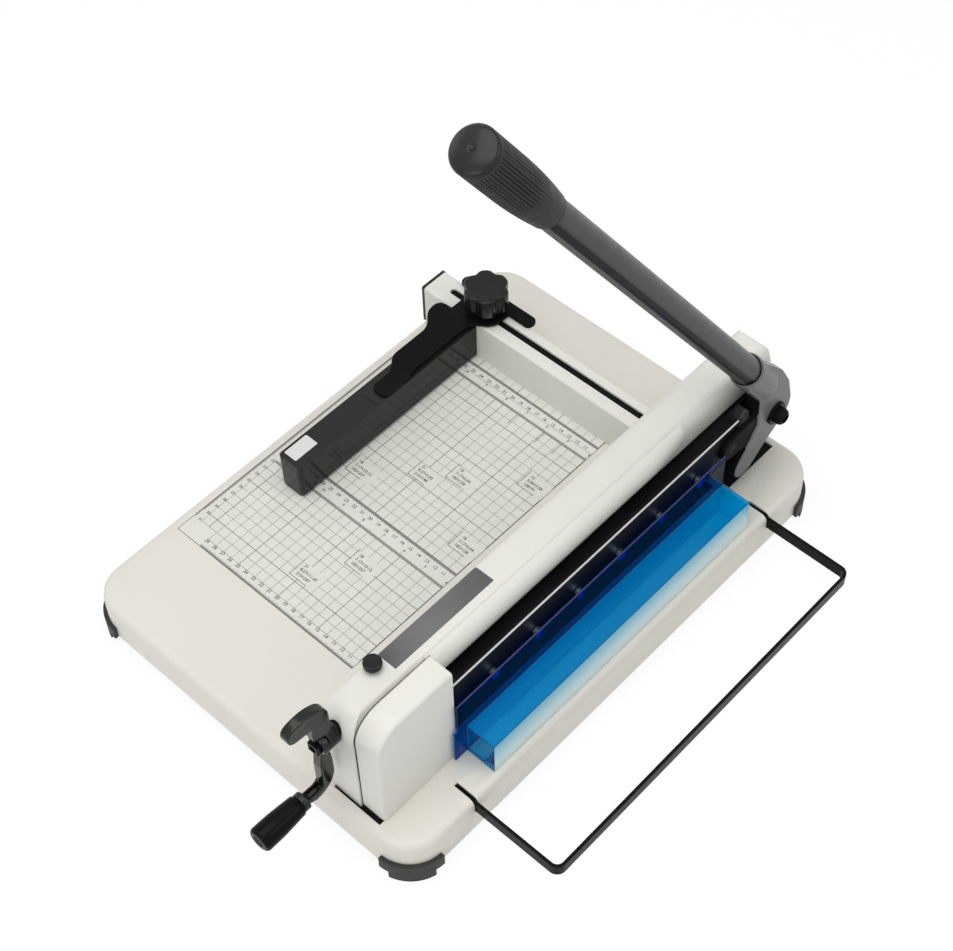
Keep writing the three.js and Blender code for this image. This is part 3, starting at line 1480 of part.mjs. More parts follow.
// Turning handle on the crank, hollow for its pin
function crankHandle() {
  const far = handleFarY();
  const near = far - handleLength;
  const geometry = turned([
    [0, 0],
    [handleNeckRadius, 0],
    [handleNeckRadius + handleRound / 4, handleRound],
    [handleRadius, handleLength - handleRound],
    [handleRadius - handleRound / 4, handleLength - handleRound / 3],
    [handleRadius - handleRound, handleLength],
    [0, handleLength],
  ], medium);
  geometry.rotateX(Math.PI / 2);
  geometry.translate(crankAxisX, far, gripZ);
  const hole = barY(crankAxisX, gripZ, gripPinRadius + seatGap, near - cutOverrun, far + cutOverrun, coarse);
  const sink = barY(crankAxisX, gripZ, gripPinHeadRadius + seatGap, near - cutOverrun,
    near + gripPinHeadHeight + seatGap, coarse);
  return solid(geometry).subtract(hole).subtract(sink);
}

function handlePin() {
  const headNear = handleFarY() - handleLength + seatGap / 2;
  const head = barY(crankAxisX, gripZ, gripPinHeadRadius, headNear, headNear + gripPinHeadHeight, coarse);
  const shank = barY(crankAxisX, gripZ, gripPinRadius, headNear + cutOverrun, gripFarY + crankEyeLength,
    coarse);
  return head.add(shank);
}

// Crank axle: round through the beam, square through the crank and in front of it
function crankAxle() {
  const half = crankNutSide / 2;
  const near = crankNearY - axleProud;
  const squareFar = crankFarY + seatGap / 2;
  const square = block(crankAxisX - half, crankAxisX + half, near, squareFar + cutOverrun,
    axleHeight - half, axleHeight + half);
  const cup = barY(crankAxisX, axleHeight, axleRadius / 2, near - cutOverrun, near + axleRadius / 3, coarse);
  return barY(crankAxisX, axleHeight, axleRadius, squareFar, beamNearY + axleInnerReach)
    .add(square)
    .subtract(cup);
}

// Push button on the beam, with its stem through the housing
function clampButton() {
  const bottom = beamHeight + buttonTravel + seatGap;
  const geometry = turned([
    [0, 0],
    [buttonRadius, 0],
    [buttonRadius, buttonHeight - buttonTravel - buttonRound],
    [buttonRadius - buttonRound, buttonHeight - buttonTravel],
    [0, buttonHeight - buttonTravel],
  ], medium);
  geometry.translate(buttonX, buttonY, bottom);
  const stem = barZ(buttonX, buttonY, buttonStemRadius, beamHeight - buttonStemLength, bottom + cutOverrun,
    coarse);
  return solid(geometry).add(stem);
}

// Flat bar on edge, bent into a U and slid into the bed's channels
function sheetLoop() {
  const half = loopBar / 2;
  const left = loopInnerX - loopRound - cutOverrun;
  const top = -loopTopSink;
  const bottom = top - loopDepth;
  const outer = roundRect(left, loopReach + half, loopNearY - half, loopFarY + half, loopRound);
  const inner = roundRect(left + loopBar, loopReach - half, loopNearY + half, loopFarY - half,
    loopRound - loopBar);
  const ring = alongZ(outer, bottom, top, cornerSteps);
  const room = alongZ(inner, bottom - cutOverrun, top + cutOverrun, cornerSteps);
  const closedEnd = block(left - cutOverrun, loopInnerX, loopNearY - loopRound, loopFarY + loopRound,
    bottom - cutOverrun, top + cutOverrun);
  return ring.subtract(room).subtract(closedEnd);
}

const model = new THREE.Group();

function add(name, body, material) {
  model.add(piece(name, body, material));
}

add('base_pan', basePan(), 'ivory');
add('foot_near_left', foot(-1, -1), 'rubber');
add('foot_near_right', foot(1, -1), 'rubber');
add('foot_far_left', foot(-1, 1), 'rubber');
add('foot_far_right', foot(1, 1), 'rubber');
add('bed_plate', bedPlate(), 'darkSteel');
add('cutting_stick', cuttingStick(), 'redPlastic');
add('beam_housing', beamHousing(), 'ivory');
add('knife_frame', knifeFrame(), 'castBlack');
add('near_cover', nearCover(), 'ivory');
add('blade_guard', bladeGuard(), 'blueClear');
guardScrewPlaces().forEach((y, i) => add(`guard_screw_${i + 1}`, guardScrew(y), 'steel'));
add('paper_stop', paperStop(), 'ivory');
add('pivot_bolt', pivotBolt(), 'blackPaint');
add('pivot_washer', pivotWasher(), 'blackPaint');
add('pivot_nut', pivotNut(), 'steel');
add('shaft_bracket_near', shaftBracket(frameNearY + bracketNearInset, true), 'castBlack');
add('shaft_bracket_mid', shaftBracket(frameNearY + bracketMidInset, true), 'castBlack');
add('shaft_bracket_far', shaftBracket(bracketFarY, false), 'castBlack');

add('lever_hub', leverHub(), 'blackPaint');
add('lever_bar', leverBar(), 'blackPaint');
add('lever_grip', leverGrip(), 'blackPlastic');

add('knife_carrier', knifeCarrier(), 'castBlack');
add('blade', blade(), 'steel');
bladeBoltPlaces().forEach((y, i) => add(`blade_bolt_${i + 1}`, bladeBolt(y), 'steel'));
add('carrier_pin', carrierPin(), 'steel');
add('guide_roller', guideRoller(), 'steel');

add('crank_axle', crankAxle(), 'darkSteel');
add('axle_gear', axleGear(), 'darkSteel');
add('crank_arm', crankArm(), 'blackPaint');
add('crank_handle', crankHandle(), 'blackPlastic');
add('handle_pin', handlePin(), 'steel');
add('clamp_shaft', clampShaft(), 'darkSteel');
add('shaft_gear', shaftGear(), 'darkSteel');
add('pinion_near', pinion(pinionNearY), 'darkSteel');
add('pinion_far', pinion(pinionFarY), 'darkSteel');
add('clamp_plate', clampPlate(), 'castBlack');
add('rack_near', clampRack(pinionNearY), 'darkSteel');
add('rack_far', clampRack(pinionFarY), 'darkSteel');
add('crank_paddle', crankPaddle(), 'blackPaint');
add('clamp_button', clampButton(), 'blackPlastic');

add('guide_block', guideBlock(), 'blackPlastic');
add('guide_arm', guideArm(), 'blackPaint');
add('guide_knob', guideKnob(), 'blackPlastic');
add('knob_stud', knobStud(), 'steel');
add('nut_plate', nutPlate(), 'steel');

add('sheet_loop', sheetLoop(), 'blackPaint');

// The origin goes to the middle of the whole box, on the surface that the feet stand on
const bounds = new THREE.Box3().setFromObject(model);
const middle = bounds.getCenter(new THREE.Vector3());
model.position.set(-middle.x, -middle.y, -bounds.min.z);

export default model;
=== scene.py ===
import json
import math

import bmesh
import bpy
from mathutils import Matrix, Vector
from mathutils.geometry import convex_hull_2d

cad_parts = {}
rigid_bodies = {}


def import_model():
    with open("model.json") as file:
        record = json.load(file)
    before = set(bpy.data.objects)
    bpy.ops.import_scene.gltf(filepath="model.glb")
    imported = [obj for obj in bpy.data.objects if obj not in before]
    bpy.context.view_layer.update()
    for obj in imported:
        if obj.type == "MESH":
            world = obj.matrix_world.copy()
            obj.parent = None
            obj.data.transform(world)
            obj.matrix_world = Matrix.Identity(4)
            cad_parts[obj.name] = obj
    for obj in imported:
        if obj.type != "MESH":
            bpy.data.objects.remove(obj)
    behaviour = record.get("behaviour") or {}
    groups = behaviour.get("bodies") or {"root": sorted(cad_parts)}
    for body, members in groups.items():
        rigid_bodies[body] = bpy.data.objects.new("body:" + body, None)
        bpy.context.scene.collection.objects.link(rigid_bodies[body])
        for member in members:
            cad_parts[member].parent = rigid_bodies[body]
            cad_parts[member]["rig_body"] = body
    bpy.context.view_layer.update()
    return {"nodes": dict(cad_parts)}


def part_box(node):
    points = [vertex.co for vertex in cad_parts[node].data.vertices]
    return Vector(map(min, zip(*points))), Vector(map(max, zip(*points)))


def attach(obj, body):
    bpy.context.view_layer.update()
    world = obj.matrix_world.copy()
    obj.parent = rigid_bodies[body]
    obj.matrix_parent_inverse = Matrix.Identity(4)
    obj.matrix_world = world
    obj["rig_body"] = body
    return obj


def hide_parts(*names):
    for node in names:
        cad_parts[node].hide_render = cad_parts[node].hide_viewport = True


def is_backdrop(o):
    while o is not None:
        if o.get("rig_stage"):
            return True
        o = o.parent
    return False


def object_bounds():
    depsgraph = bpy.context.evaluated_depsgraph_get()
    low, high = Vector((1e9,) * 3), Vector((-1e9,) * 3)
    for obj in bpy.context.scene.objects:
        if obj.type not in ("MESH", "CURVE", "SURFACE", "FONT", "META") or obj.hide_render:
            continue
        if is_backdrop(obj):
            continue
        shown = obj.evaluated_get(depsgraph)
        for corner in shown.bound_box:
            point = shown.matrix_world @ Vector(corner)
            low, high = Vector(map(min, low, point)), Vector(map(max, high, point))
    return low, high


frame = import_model()

# Lengths below are millimetres on the machine's own scales: X from the cutting line towards the
# finger guard, Y from the zero of the printed scale towards the paper stop, Z from the table's face.
MM = 0.001
STICK_NEAR_END = -20.0
stick_low, stick_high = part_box("cutting_stick")
ZERO = Vector((
    (stick_low.x + stick_high.x) / 2,
    stick_low.y - STICK_NEAR_END * MM,
    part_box("base_pan")[1].z,
))
# The way the camera looks, for the camera and for the painted reflections and shade across the lever's bar
VIEW_WAY = Vector((-0.42948, 0.44082, -0.78818))


def at(x, y, z=0.0):
    """A place in the row frame, in metres, from millimetres on the machine's scales."""
    return ZERO + Vector((x, y, z)) * MM


def box_of(node):
    """A node's lowest and highest corners in millimetres on the machine's scales."""
    return [(corner - ZERO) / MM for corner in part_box(node)]


# Materials

NOISE_LOW, NOISE_HIGH = 0.3, 0.7


def feed(node, sockets):
    """Gives each named socket of a node its value, or a link where that is another socket."""
    for socket, value in sockets.items():
        if isinstance(value, bpy.types.NodeSocket):
            node.id_data.links.new(value, node.inputs[socket])
        else:
            node.inputs[socket].default_value = value


def add_node(tree, kind, sockets, operation=None):
    """A new node with its sockets fed."""
    node = tree.nodes.new(kind)
    if operation:
        node.operation = operation
    feed(node, sockets)
    return node


def new_material(name):
    """An empty node material with its shader, and the node that gives places on the object."""
    material = bpy.data.materials.new(name)
    material.use_nodes = True
    tree = material.node_tree
    places = tree.nodes.new("ShaderNodeTexCoord").outputs["Object"]
    return material, tree, tree.nodes["Principled BSDF"], places


def noise(tree, places, scale, detail=3.0, stretch=(1.0, 1.0, 1.0)):
    """Noise on the object's own places; stretch lengthens it along an axis."""
    mapping = add_node(tree, "ShaderNodeMapping", {"Vector": places, "Scale": stretch})
    sockets = {"Vector": mapping.outputs["Vector"], "Scale": scale, "Detail": detail}
    return add_node(tree, "ShaderNodeTexNoise", sockets).outputs["Fac"]


def mapped(tree, value, low, high, start=0.0, end=1.0):
    """Maps the range of a value from start to end onto the range from low to high."""
    sockets = {"Value": value, "From Min": start, "From Max": end, "To Min": low, "To Max": high}
    return add_node(tree, "ShaderNodeMapRange", sockets).outputs["Result"]


def spread(tree, value, low, high):
    """Maps the middle of a noise to the range from low to high."""
    return mapped(tree, value, low, high, NOISE_LOW, NOISE_HIGH)


def colour_ramp(tree, value, stops):
    """A colour that follows a value through stops, each (value, colour)."""
    ramp = tree.nodes.new("ShaderNodeValToRGB")
    elements = ramp.color_ramp.elements
    elements.remove(elements[1])
    elements[0].position = stops[0][0]
    elements[0].color = (*stops[0][1], 1)
    for place, colour in stops[1:]:
        elements.new(place).color = (*colour, 1)
    feed(ramp, {"Fac": value})
    return ramp.outputs["Color"]


def two_tones(tree, value, colour, tone):
    """A colour that drifts a little darker and lighter."""
    darker = [part * (1 - tone) for part in colour]
    lighter = [min(1.0, part * (1 + tone)) for part in colour]
    return colour_ramp(tree, value, ((NOISE_LOW, darker), (NOISE_HIGH, lighter)))


def add_relief(tree, shader, height, strength, distance):
    """Fine relief on a shader, as deep as the distance in metres."""
    sockets = {"Height": height, "Strength": strength, "Distance": distance}
    feed(shader, {"Normal": add_node(tree, "ShaderNodeBump", sockets).outputs["Normal"]})


def mix_shaders(tree, share, first, second, output):
    """Sends two shaders to the output node; the share is the second one's."""
    sockets = {0: share, 1: first.outputs[0], 2: second.outputs[0]}
    mix = add_node(tree, "ShaderNodeMixShader", sockets)
    feed(tree.nodes[output], {"Surface": mix.outputs[0]})


def surface(name, colour, roughness, tone=0.03, rough_spread=0.05, cloud=14.0, grain=900.0,
            bump=0.00003, metallic=0.0, specular=0.5, stretch=(1.0, 1.0, 1.0)):
    """A moulded, painted or metal surface: drifting tone, uneven gloss and fine grain."""
    gloss_per_cloud = 6
    material, tree, shader, places = new_material(name)
    gloss = noise(tree, places, cloud * gloss_per_cloud, detail=5.0, stretch=stretch)
    feed(shader, {
        "Base Color": two_tones(tree, noise(tree, places, cloud), colour, tone),
        "Roughness": spread(tree, gloss, roughness - rough_spread, roughness + rough_spread),
        "Metallic": metallic,
        "Specular IOR Level": specular,
    })
    add_relief(tree, shader, noise(tree, places, grain, detail=2.0, stretch=stretch),
               strength=0.35, distance=bump)
    return material


def see_through(name, tint, roughness=0.04):
    """Clear plastic: light passes each face tinted, and only a little is mirrored."""
    least_mirrored, most_mirrored, mirror_power = 0.02, 0.25, 4.0
    material, tree, shader, places = new_material(name)
    tree.nodes.remove(shader)
    colour = two_tones(tree, noise(tree, places, scale=9.0), tint, tone=0.03)
    clear = add_node(tree, "ShaderNodeBsdfTransparent", {"Color": colour})
    gloss = spread(tree, noise(tree, places, scale=50.0), roughness * 0.5, roughness * 1.5)
    mirror = add_node(tree, "ShaderNodeBsdfGlossy", {"Roughness": gloss})
    add_relief(tree, mirror, noise(tree, places, scale=25.0), strength=0.05, distance=0.0001)
    grazing = add_node(tree, "ShaderNodeLayerWeight", {"Blend": 0.5})
    steepness = add_node(tree, "ShaderNodeMath", {0: grazing.outputs["Facing"], 1: mirror_power},
                         "POWER")
    share = mapped(tree, steepness.outputs[0], least_mirrored, most_mirrored)
    mix_shaders(tree, share, clear, mirror, "Material Output")
    return material


def milky_wall(name, top_colour, foot_colour, top_height=38.0, top_cover=0.75):
    """Half clear plastic whose colour and cover change from the table up; it also glows in its own colour,
    a painted glow, and a pale foot colour is painted light.
    """
    # glow is a painted glow: the wall gives off light of its own colour though it is no lamp
    foot_cover, foot_share, glow = 0.97, 0.25, 0.12
    material, tree, shader, places = new_material(name)
    height = add_node(tree, "ShaderNodeSeparateXYZ", {"Vector": places}).outputs["Z"]
    rise = mapped(tree, height, 0.0, 1.0, ZERO.z, ZERO.z + top_height * MM)
    colour = colour_ramp(tree, rise, ((foot_share, foot_colour), (1.0, top_colour)))
    feed(shader, {
        "Base Color": colour,
        "Emission Color": colour,
        "Emission Strength": glow,
        "Roughness": spread(tree, noise(tree, places, scale=60.0), low=0.12, high=0.22),
        "Alpha": mapped(tree, rise, foot_cover, top_cover),
        "Specular IOR Level": 0.1,
    })
    return material


def round_bar_paint(name, side, stops):
    """Glossy paint on a round bar with painted reflections and shade: its tone follows how far a face
    looks to one side.
    """
    material, tree, shader, places = new_material(name)
    normal = tree.nodes.new("ShaderNodeTexCoord").outputs["Normal"]
    facing = add_node(tree, "ShaderNodeVectorMath", {0: normal, 1: side}, "DOT_PRODUCT")
    level = mapped(tree, facing.outputs["Value"], 0.0, 1.0, start=-1.0)
    greys = [((way + 1) / 2, (tone, tone, tone)) for way, tone in stops]
    feed(shader, {
        "Base Color": colour_ramp(tree, level, greys),
        "Roughness": spread(tree, noise(tree, places, scale=80.0), low=0.27, high=0.35),
        "Specular IOR Level": 0.05,
    })
    add_relief(tree, shader, noise(tree, places, scale=350.0, detail=2.0), strength=0.3,
               distance=0.00002)
    return material


ivory = surface("ivory_plastic", (0.78, 0.765, 0.705), 0.42, tone=0.012, grain=1400.0)
pan_ivory = surface("pan_plastic", (0.762, 0.738, 0.66), 0.42, tone=0.012, grain=1400.0)
rubber = surface("rubber", (0.03, 0.029, 0.028), 0.6, tone=0.2, grain=1100.0, bump=0.0001,
                 specular=0.3)
red_plastic = surface("red_plastic", (0.66, 0.035, 0.03), 0.4)
black_paint = surface("black_paint", (0.008, 0.008, 0.008), 0.2, tone=0.15, rough_spread=0.06,
                      grain=500.0, specular=0.04)
# A darker copy of the hub's paint, for painted shade in its sunk places
hub_painted_shade = surface("hub_painted_shade", (0.008, 0.008, 0.0075), 0.3, tone=0.2, grain=500.0, specular=0.01)
crank_paint = surface("crank_paint", (0.009, 0.0085, 0.007), 0.14, tone=0.12, rough_spread=0.04,
                      grain=400.0, specular=0.3)
# Grey standing for the hub's black paint with a painted reflection on its outer faces
hub_paint_painted_reflection = surface("hub_paint_painted_reflection", (0.145, 0.145, 0.142), 0.36, tone=0.06, grain=350.0,
                      bump=0.00002, specular=0.25)
black_plastic = surface("black_plastic", (0.011, 0.011, 0.0105), 0.22, tone=0.15, grain=700.0,
                        bump=0.00002, specular=0.2)
handle_plastic = surface("handle_plastic", (0.005, 0.005, 0.005), 0.2, tone=0.15, grain=700.0,
                         bump=0.00002, specular=0.06)
cap_plastic = surface("cap_plastic", (0.015, 0.015, 0.0145), 0.26, tone=0.1, grain=700.0,
                      bump=0.00002, specular=0.22)
guide_plastic = surface("guide_plastic", (0.019, 0.019, 0.0175), 0.1, tone=0.15, rough_spread=0.03,
                        grain=700.0, bump=0.00001, specular=0.2)
grip_plastic = surface("grip_plastic", (0.018, 0.018, 0.0172), 0.42, tone=0.12, bump=0.00006,
                       specular=0.12)
cast_black = surface("cast_black", (0.008, 0.008, 0.009), 0.4, tone=0.2, rough_spread=0.1,
                     grain=450.0, bump=0.00012, specular=0.04)
bed_black = surface("bed_black", (0.006, 0.006, 0.006), 0.7, tone=0.2, specular=0.1)
bright_steel = surface("bright_steel", (0.62, 0.63, 0.65), 0.24, tone=0.06, rough_spread=0.08,
                       grain=600.0, metallic=1.0, stretch=(1.0, 0.05, 1.0))
dark_steel = surface("dark_steel", (0.16, 0.16, 0.17), 0.35, tone=0.15, rough_spread=0.1,
                     metallic=1.0, stretch=(1.0, 0.1, 1.0))
ink = surface("scale_ink", (0.055, 0.055, 0.052), 0.5, tone=0.12, cloud=60.0)
grey_ink = surface("scale_grey_ink", (0.32, 0.32, 0.30), 0.5, tone=0.06, cloud=60.0)
label_grey = surface("label_grey", (0.16, 0.158, 0.155), 0.5, tone=0.05, cloud=40.0, specular=0.25)
label_white = surface("label_white", (0.72, 0.71, 0.70), 0.4, tone=0.02, cloud=60.0)
seam_dark = surface("seam_shadow", (0.004, 0.004, 0.004), 0.7, tone=0.1, specular=0.05)
sheet_ivory = surface("sheet_ivory", (0.755, 0.75, 0.688), 0.45, tone=0.02, cloud=40.0,
                      specular=0.3)
clear_deep = see_through("blue_clear", (0.08, 0.76, 0.97))
# The front wall is pale towards the table and glows, and the top plate glows too: painted light
clear_front = milky_wall("blue_clear_front", (0.16, 0.50, 0.66), (0.62, 0.76, 0.76))
clear_top = milky_wall("blue_clear_top", (0.0, 0.24, 0.62), (0.0, 0.24, 0.62), top_cover=0.55)
clear_back = see_through("blue_clear_back", (0.12, 0.24, 0.72))
clear_edge = surface("blue_clear_edge", (0.008, 0.02, 0.1), 0.15, tone=0.1, specular=0.06)
# A painted highlight along the guard's top edge
clear_rim_painted_highlight = surface("blue_clear_rim", (0.07, 0.08, 0.25), 0.12, tone=0.05, specular=0.15)
# Steel tinted blue: a painted reflection of the blue guard on the bolt heads
bolt_steel_blue_reflection = surface("bolt_steel_blue_reflection", (0.55, 0.72, 0.92), 0.16, tone=0.08, metallic=1.0)
# Light grey for the painted highlight along the knife carrier's top front edge
carrier_painted_highlight = surface("carrier_painted_highlight", (0.62, 0.61, 0.60), 0.3, tone=0.05)

# Building pieces

WELD = 0.002
FLAT_ANGLE = 0.5


def placed(name, data):
    """A new object in the scene."""
    holder = bpy.data.objects.new(name, data)
    bpy.context.scene.collection.objects.link(holder)
    return holder


def to_object(name, mesh, material, body="root"):
    """A new piece in the row frame that rides on a body."""
    piece = placed(name, mesh)
    mesh.materials.clear()
    mesh.materials.append(material)
    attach(piece, body)
    return piece


def stand_in(node, mesh, material):
    """A piece that stands for a CAD node and rides on the node's body."""
    body = frame["nodes"][node]["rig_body"]
    piece = to_object(node + "_finish", mesh, material, body)
    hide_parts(node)
    return piece


def mesh_of(name, shape):
    """Turns an editing mesh into a plain one."""
    mesh = bpy.data.meshes.new(name)
    shape.to_mesh(mesh)
    shape.free()
    return mesh


def applied(piece):
    """Turns a piece's modifiers into its mesh."""
    graph = bpy.context.evaluated_depsgraph_get()
    mesh = bpy.data.meshes.new_from_object(piece.evaluated_get(graph))
    piece.modifiers.clear()
    piece.data = mesh


def add_bevel(piece, width, segments=2, angle=35.0):
    """Rounds the piece's edges, so that they catch the light as real ones do."""
    modifier = piece.modifiers.new("edges", "BEVEL")
    modifier.width = width * MM
    modifier.segments = segments
    modifier.limit_method = "ANGLE"
    modifier.angle_limit = math.radians(angle)
    modifier.harden_normals = True
    modifier.miter_outer = "MITER_ARC"


def refined(node, material, bevel=0.5, segments=2, smooth=35.0, change=None):
    """A smooth copy of a CAD node with rounded edges, in the node's own place."""
    shape = bmesh.new()
    shape.from_mesh(frame["nodes"][node].data)
    bmesh.ops.remove_doubles(shape, verts=shape.verts, dist=WELD * MM)
    bmesh.ops.dissolve_limit(shape, angle_limit=math.radians(FLAT_ANGLE), verts=shape.verts,
                             edges=shape.edges)
    if change:
        change(shape)
    for face in shape.faces:
        face.smooth = True
    mesh = mesh_of(node + "_finish", shape)
    mesh.set_sharp_from_angle(angle=math.radians(smooth))
    piece = stand_in(node, mesh, material)
    if bevel:
        add_bevel(piece, bevel, segments)
        applied(piece)
    return piece


def round_edges(shape, radius, segments, chosen):
    """Rounds the edges of a shape whose two ends are chosen."""
    edges = [edge for edge in shape.edges if chosen(edge.verts[0].co, edge.verts[1].co)]
    bmesh.ops.bevel(shape, geom=edges, offset=radius * MM, segments=segments, profile=0.5,
                    affect="EDGES")


def soften(piece, grain, passes):
    """Melts a piece's overlapping solids into one soft casting."""
    cast = piece.modifiers.new("cast", "REMESH")
    cast.mode = "VOXEL"
    cast.voxel_size = grain * MM
    blur = piece.modifiers.new("soften", "SMOOTH")
    blur.factor = 0.5
    blur.iterations = passes
    applied(piece)
    piece.data.shade_smooth()


def mesh_from(name, vertices, faces):
    mesh = bpy.data.meshes.new(name)
    mesh.from_pydata(vertices, [], faces)
    mesh.validate()
    return mesh


def flat_quads(name, quads, material, z, body="root"):
    """Thin level patches in one mesh, each (x0, x1, y0, y1) in millimetres, at one height."""
    vertices = []
    faces = []
    for x0, x1, y0, y1 in quads:
        first = len(vertices)
        vertices += [at(x0, y0, z), at(x1, y0, z), at(x1, y1, z), at(x0, y1, z)]
        faces.append((first, first + 1, first + 2, first + 3))
    return to_object(name, mesh_from(name, vertices, faces), material, body)


def bar_through(name, rings):
    """A closed bar through rings of points, each anticlockwise as seen from the first end."""
    vertices = [point for ring in rings for point in ring]
    size = len(rings[0])
    end = len(vertices) - size
    faces = [tuple(range(size)), tuple(reversed(range(end, end + size)))]
    for start in range(0, end, size):
        for step in range(size):
            here, following = start + step, start + (step + 1) % size
            faces.append((here, here + size, following + size, following))
    return mesh_from(name, vertices, faces)


def domed_through(name, rings, foot, top, sharp):
    """A smooth closed mesh through rings of points, with a point in the middle of each end."""
    vertices = [point for ring in rings for point in ring]
    size = len(rings[0])
    last = len(vertices) - size
    faces = []
    for start in range(0, last, size):
        for step in range(size):
            here, following = start + step, start + (step + 1) % size
            faces.append((here, following, following + size, here + size))
    foot_index = len(vertices)
    vertices += [foot, top]
    for step in range(size):
        following = (step + 1) % size
        faces.append((foot_index, following, step))
        faces.append((foot_index + 1, last + step, last + following))
    mesh = mesh_from(name, vertices, faces)
    mesh.shade_smooth()
    mesh.set_sharp_from_angle(angle=math.radians(sharp))
    return mesh


def turned(name, profile, origin, direction, steps=96, ribs=None):
    """A body of revolution. The profile has (radius, way along) in millimetres, from axis to axis.

    ribs gives the part of the radius to take off at a ring and a turn."""
    axis = direction.normalized()
    side = axis.orthogonal().normalized()
    other = axis.cross(side)
    rings = []
    for radius, along in profile[1:-1]:
        ring = []
        for step in range(steps):
            turn = 2 * math.pi * step / steps
            reach = radius - (ribs(along, turn) if ribs else 0.0)
            way = side * math.cos(turn) + other * math.sin(turn)
            ring.append(origin + axis * along * MM + way * reach * MM)
        rings.append(ring)
    foot = origin + axis * profile[0][1] * MM
    top = origin + axis * profile[-1][1] * MM
    return domed_through(name, rings, foot, top, sharp=40)


def arc(centre_radius, centre_along, radius, start, end, steps=6):
    """Points of a rounded corner in a turned profile, with angles in degrees from outwards."""
    points = []
    for step in range(steps + 1):
        turn = math.radians(start + (end - start) * step / steps)
        points.append((centre_radius + radius * math.cos(turn),
                       centre_along + radius * math.sin(turn)))
    return points


# Base, beam, stop and covers

EDGE_MARGIN = 0.1
BEAM_EDGE_ROUND, BEAM_EDGE_REACH, BEAM_EDGE_STOP = 6.5, 1.8, 50.0


def round_right_edge(shape):
    """Rounds the beam's long top edge beside the knife."""
    right = max(vertex.co.x for vertex in shape.verts) - EDGE_MARGIN * MM
    top = max(vertex.co.z for vertex in shape.verts) - EDGE_MARGIN * MM
    round_edges(shape, BEAM_EDGE_ROUND, segments=8,
                chosen=lambda a, b: min(a.x, b.x) > right and min(a.z, b.z) > top)


def clear_guard():
    """The clear guard with a front wall paled by painted light, dark cut edges and a painted highlight
    along the top of its back plate.
    """
    piece = refined("blade_guard", clear_deep, bevel=0.45)
    for material in (clear_front, clear_edge, clear_rim_painted_highlight, clear_top, clear_back):
        piece.data.materials.append(material)
    front, edges, rim, top_plate, upper_back = range(1, 6)
    low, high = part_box("blade_guard")
    wall = 2.4 * MM
    top_plate_foot = low.z + (high.z - low.z) / 3
    middle = (low.z + high.z) / 2
    along_an_axis, near_an_axis = 0.995, 0.9
    for face in piece.data.polygons:
        place, way = face.center, face.normal
        if max(abs(part) for part in way) < along_an_axis:
            face.material_index = edges
        # The top strip of the guard gets the painted highlight
        elif place.z > high.z - wall / 4:
            face.material_index = rim
        elif place.x > high.x - wall and abs(way.x) > near_an_axis:
            face.material_index = front
        elif way.z > near_an_axis and place.z > top_plate_foot:
            face.material_index = top_plate
        elif way.x > near_an_axis and place.z > middle:
            face.material_index = upper_back


def cover_seam():
    """The dark line between the near cover and the beam, a thin ring round the cover's outline."""
    left_side, right_side = 0.5, 0.1
    proud, sunk, lift = 0.55, -0.1, 0.1
    outline = [vertex.co.yz for vertex in frame["nodes"]["near_cover"].data.vertices]
    ring = [outline[index] for index in convex_hull_2d(outline)]
    centre = sum(ring, Vector((0, 0))) / len(ring)
    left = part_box("near_cover")[0].x
    vertices = []
    for x in (left - left_side * MM, left - right_side * MM):
        for overhang in (proud, sunk):
            for point in ring:
                out = point + (point - centre).normalized() * overhang * MM
                vertices.append((x, out.x, max(out.y, ZERO.z + lift * MM)))
    count = len(ring)
    faces = []
    for step in range(count):
        following = (step + 1) % count
        for one, other in ((0, 1), (1, 3), (3, 2), (2, 0)):
            faces.append((one * count + step, other * count + step, other * count + following,
                          one * count + following))
    mesh = mesh_from("cover_seam", vertices, faces)
    to_object("cover_seam", mesh, seam_dark)


def beam_edge():
    """The beam's rolled edge, which reaches out over the knife and draws in beside the lever."""
    nodes = ("beam_housing", "knife_carrier", "near_cover")
    housing, carrier, cover = [box_of(node)[1] for node in nodes]
    inner = housing.x - BEAM_EDGE_ROUND
    over_carrier, beside_cover, beside_housing = 1.0, 0.5, 0.3
    foot = carrier.z + over_carrier
    full, drawn_in = BEAM_EDGE_REACH, housing.x + beside_housing
    lever_near = carrier.y - BEAM_EDGE_STOP
    draw_start, draw_middle = lever_near - 45.0, lever_near - 20.0
    places = [(cover.y + beside_cover, full), (draw_start, full),
              (draw_middle, (full + drawn_in) / 2), (lever_near, drawn_in)]
    steps = 12
    rings = []
    for y, outer in places:
        ring = [at(inner, y, foot)]
        for step in range(steps + 1):
            turn = math.pi / 2 * step / steps
            ring.append(at(inner + (outer - inner) * math.cos(turn), y,
                           foot + (housing.z - foot) * math.sin(turn)))
        rings.append(ring)
    piece = to_object("beam_edge", bar_through("beam_edge", rings), ivory)
    piece.data.shade_smooth()
    piece.data.set_sharp_from_angle(angle=math.radians(35.0))


refined("base_pan", pan_ivory, bevel=0.8)
refined("beam_housing", ivory, bevel=0.8, change=round_right_edge)
for name, width in (("near_cover", 0.6), ("paper_stop", 0.8)):
    refined(name, ivory, bevel=width)
for name in ("foot_near_left", "foot_near_right", "foot_far_left", "foot_far_right"):
    refined(name, rubber, bevel=0.6)
refined("cutting_stick", red_plastic)
refined("bed_plate", bed_black)
refined("knife_frame", cast_black, bevel=0.6)
refined("sheet_loop", black_paint, segments=3)
clear_guard()
cover_seam()
beam_edge()

# Knife, shafts and screws


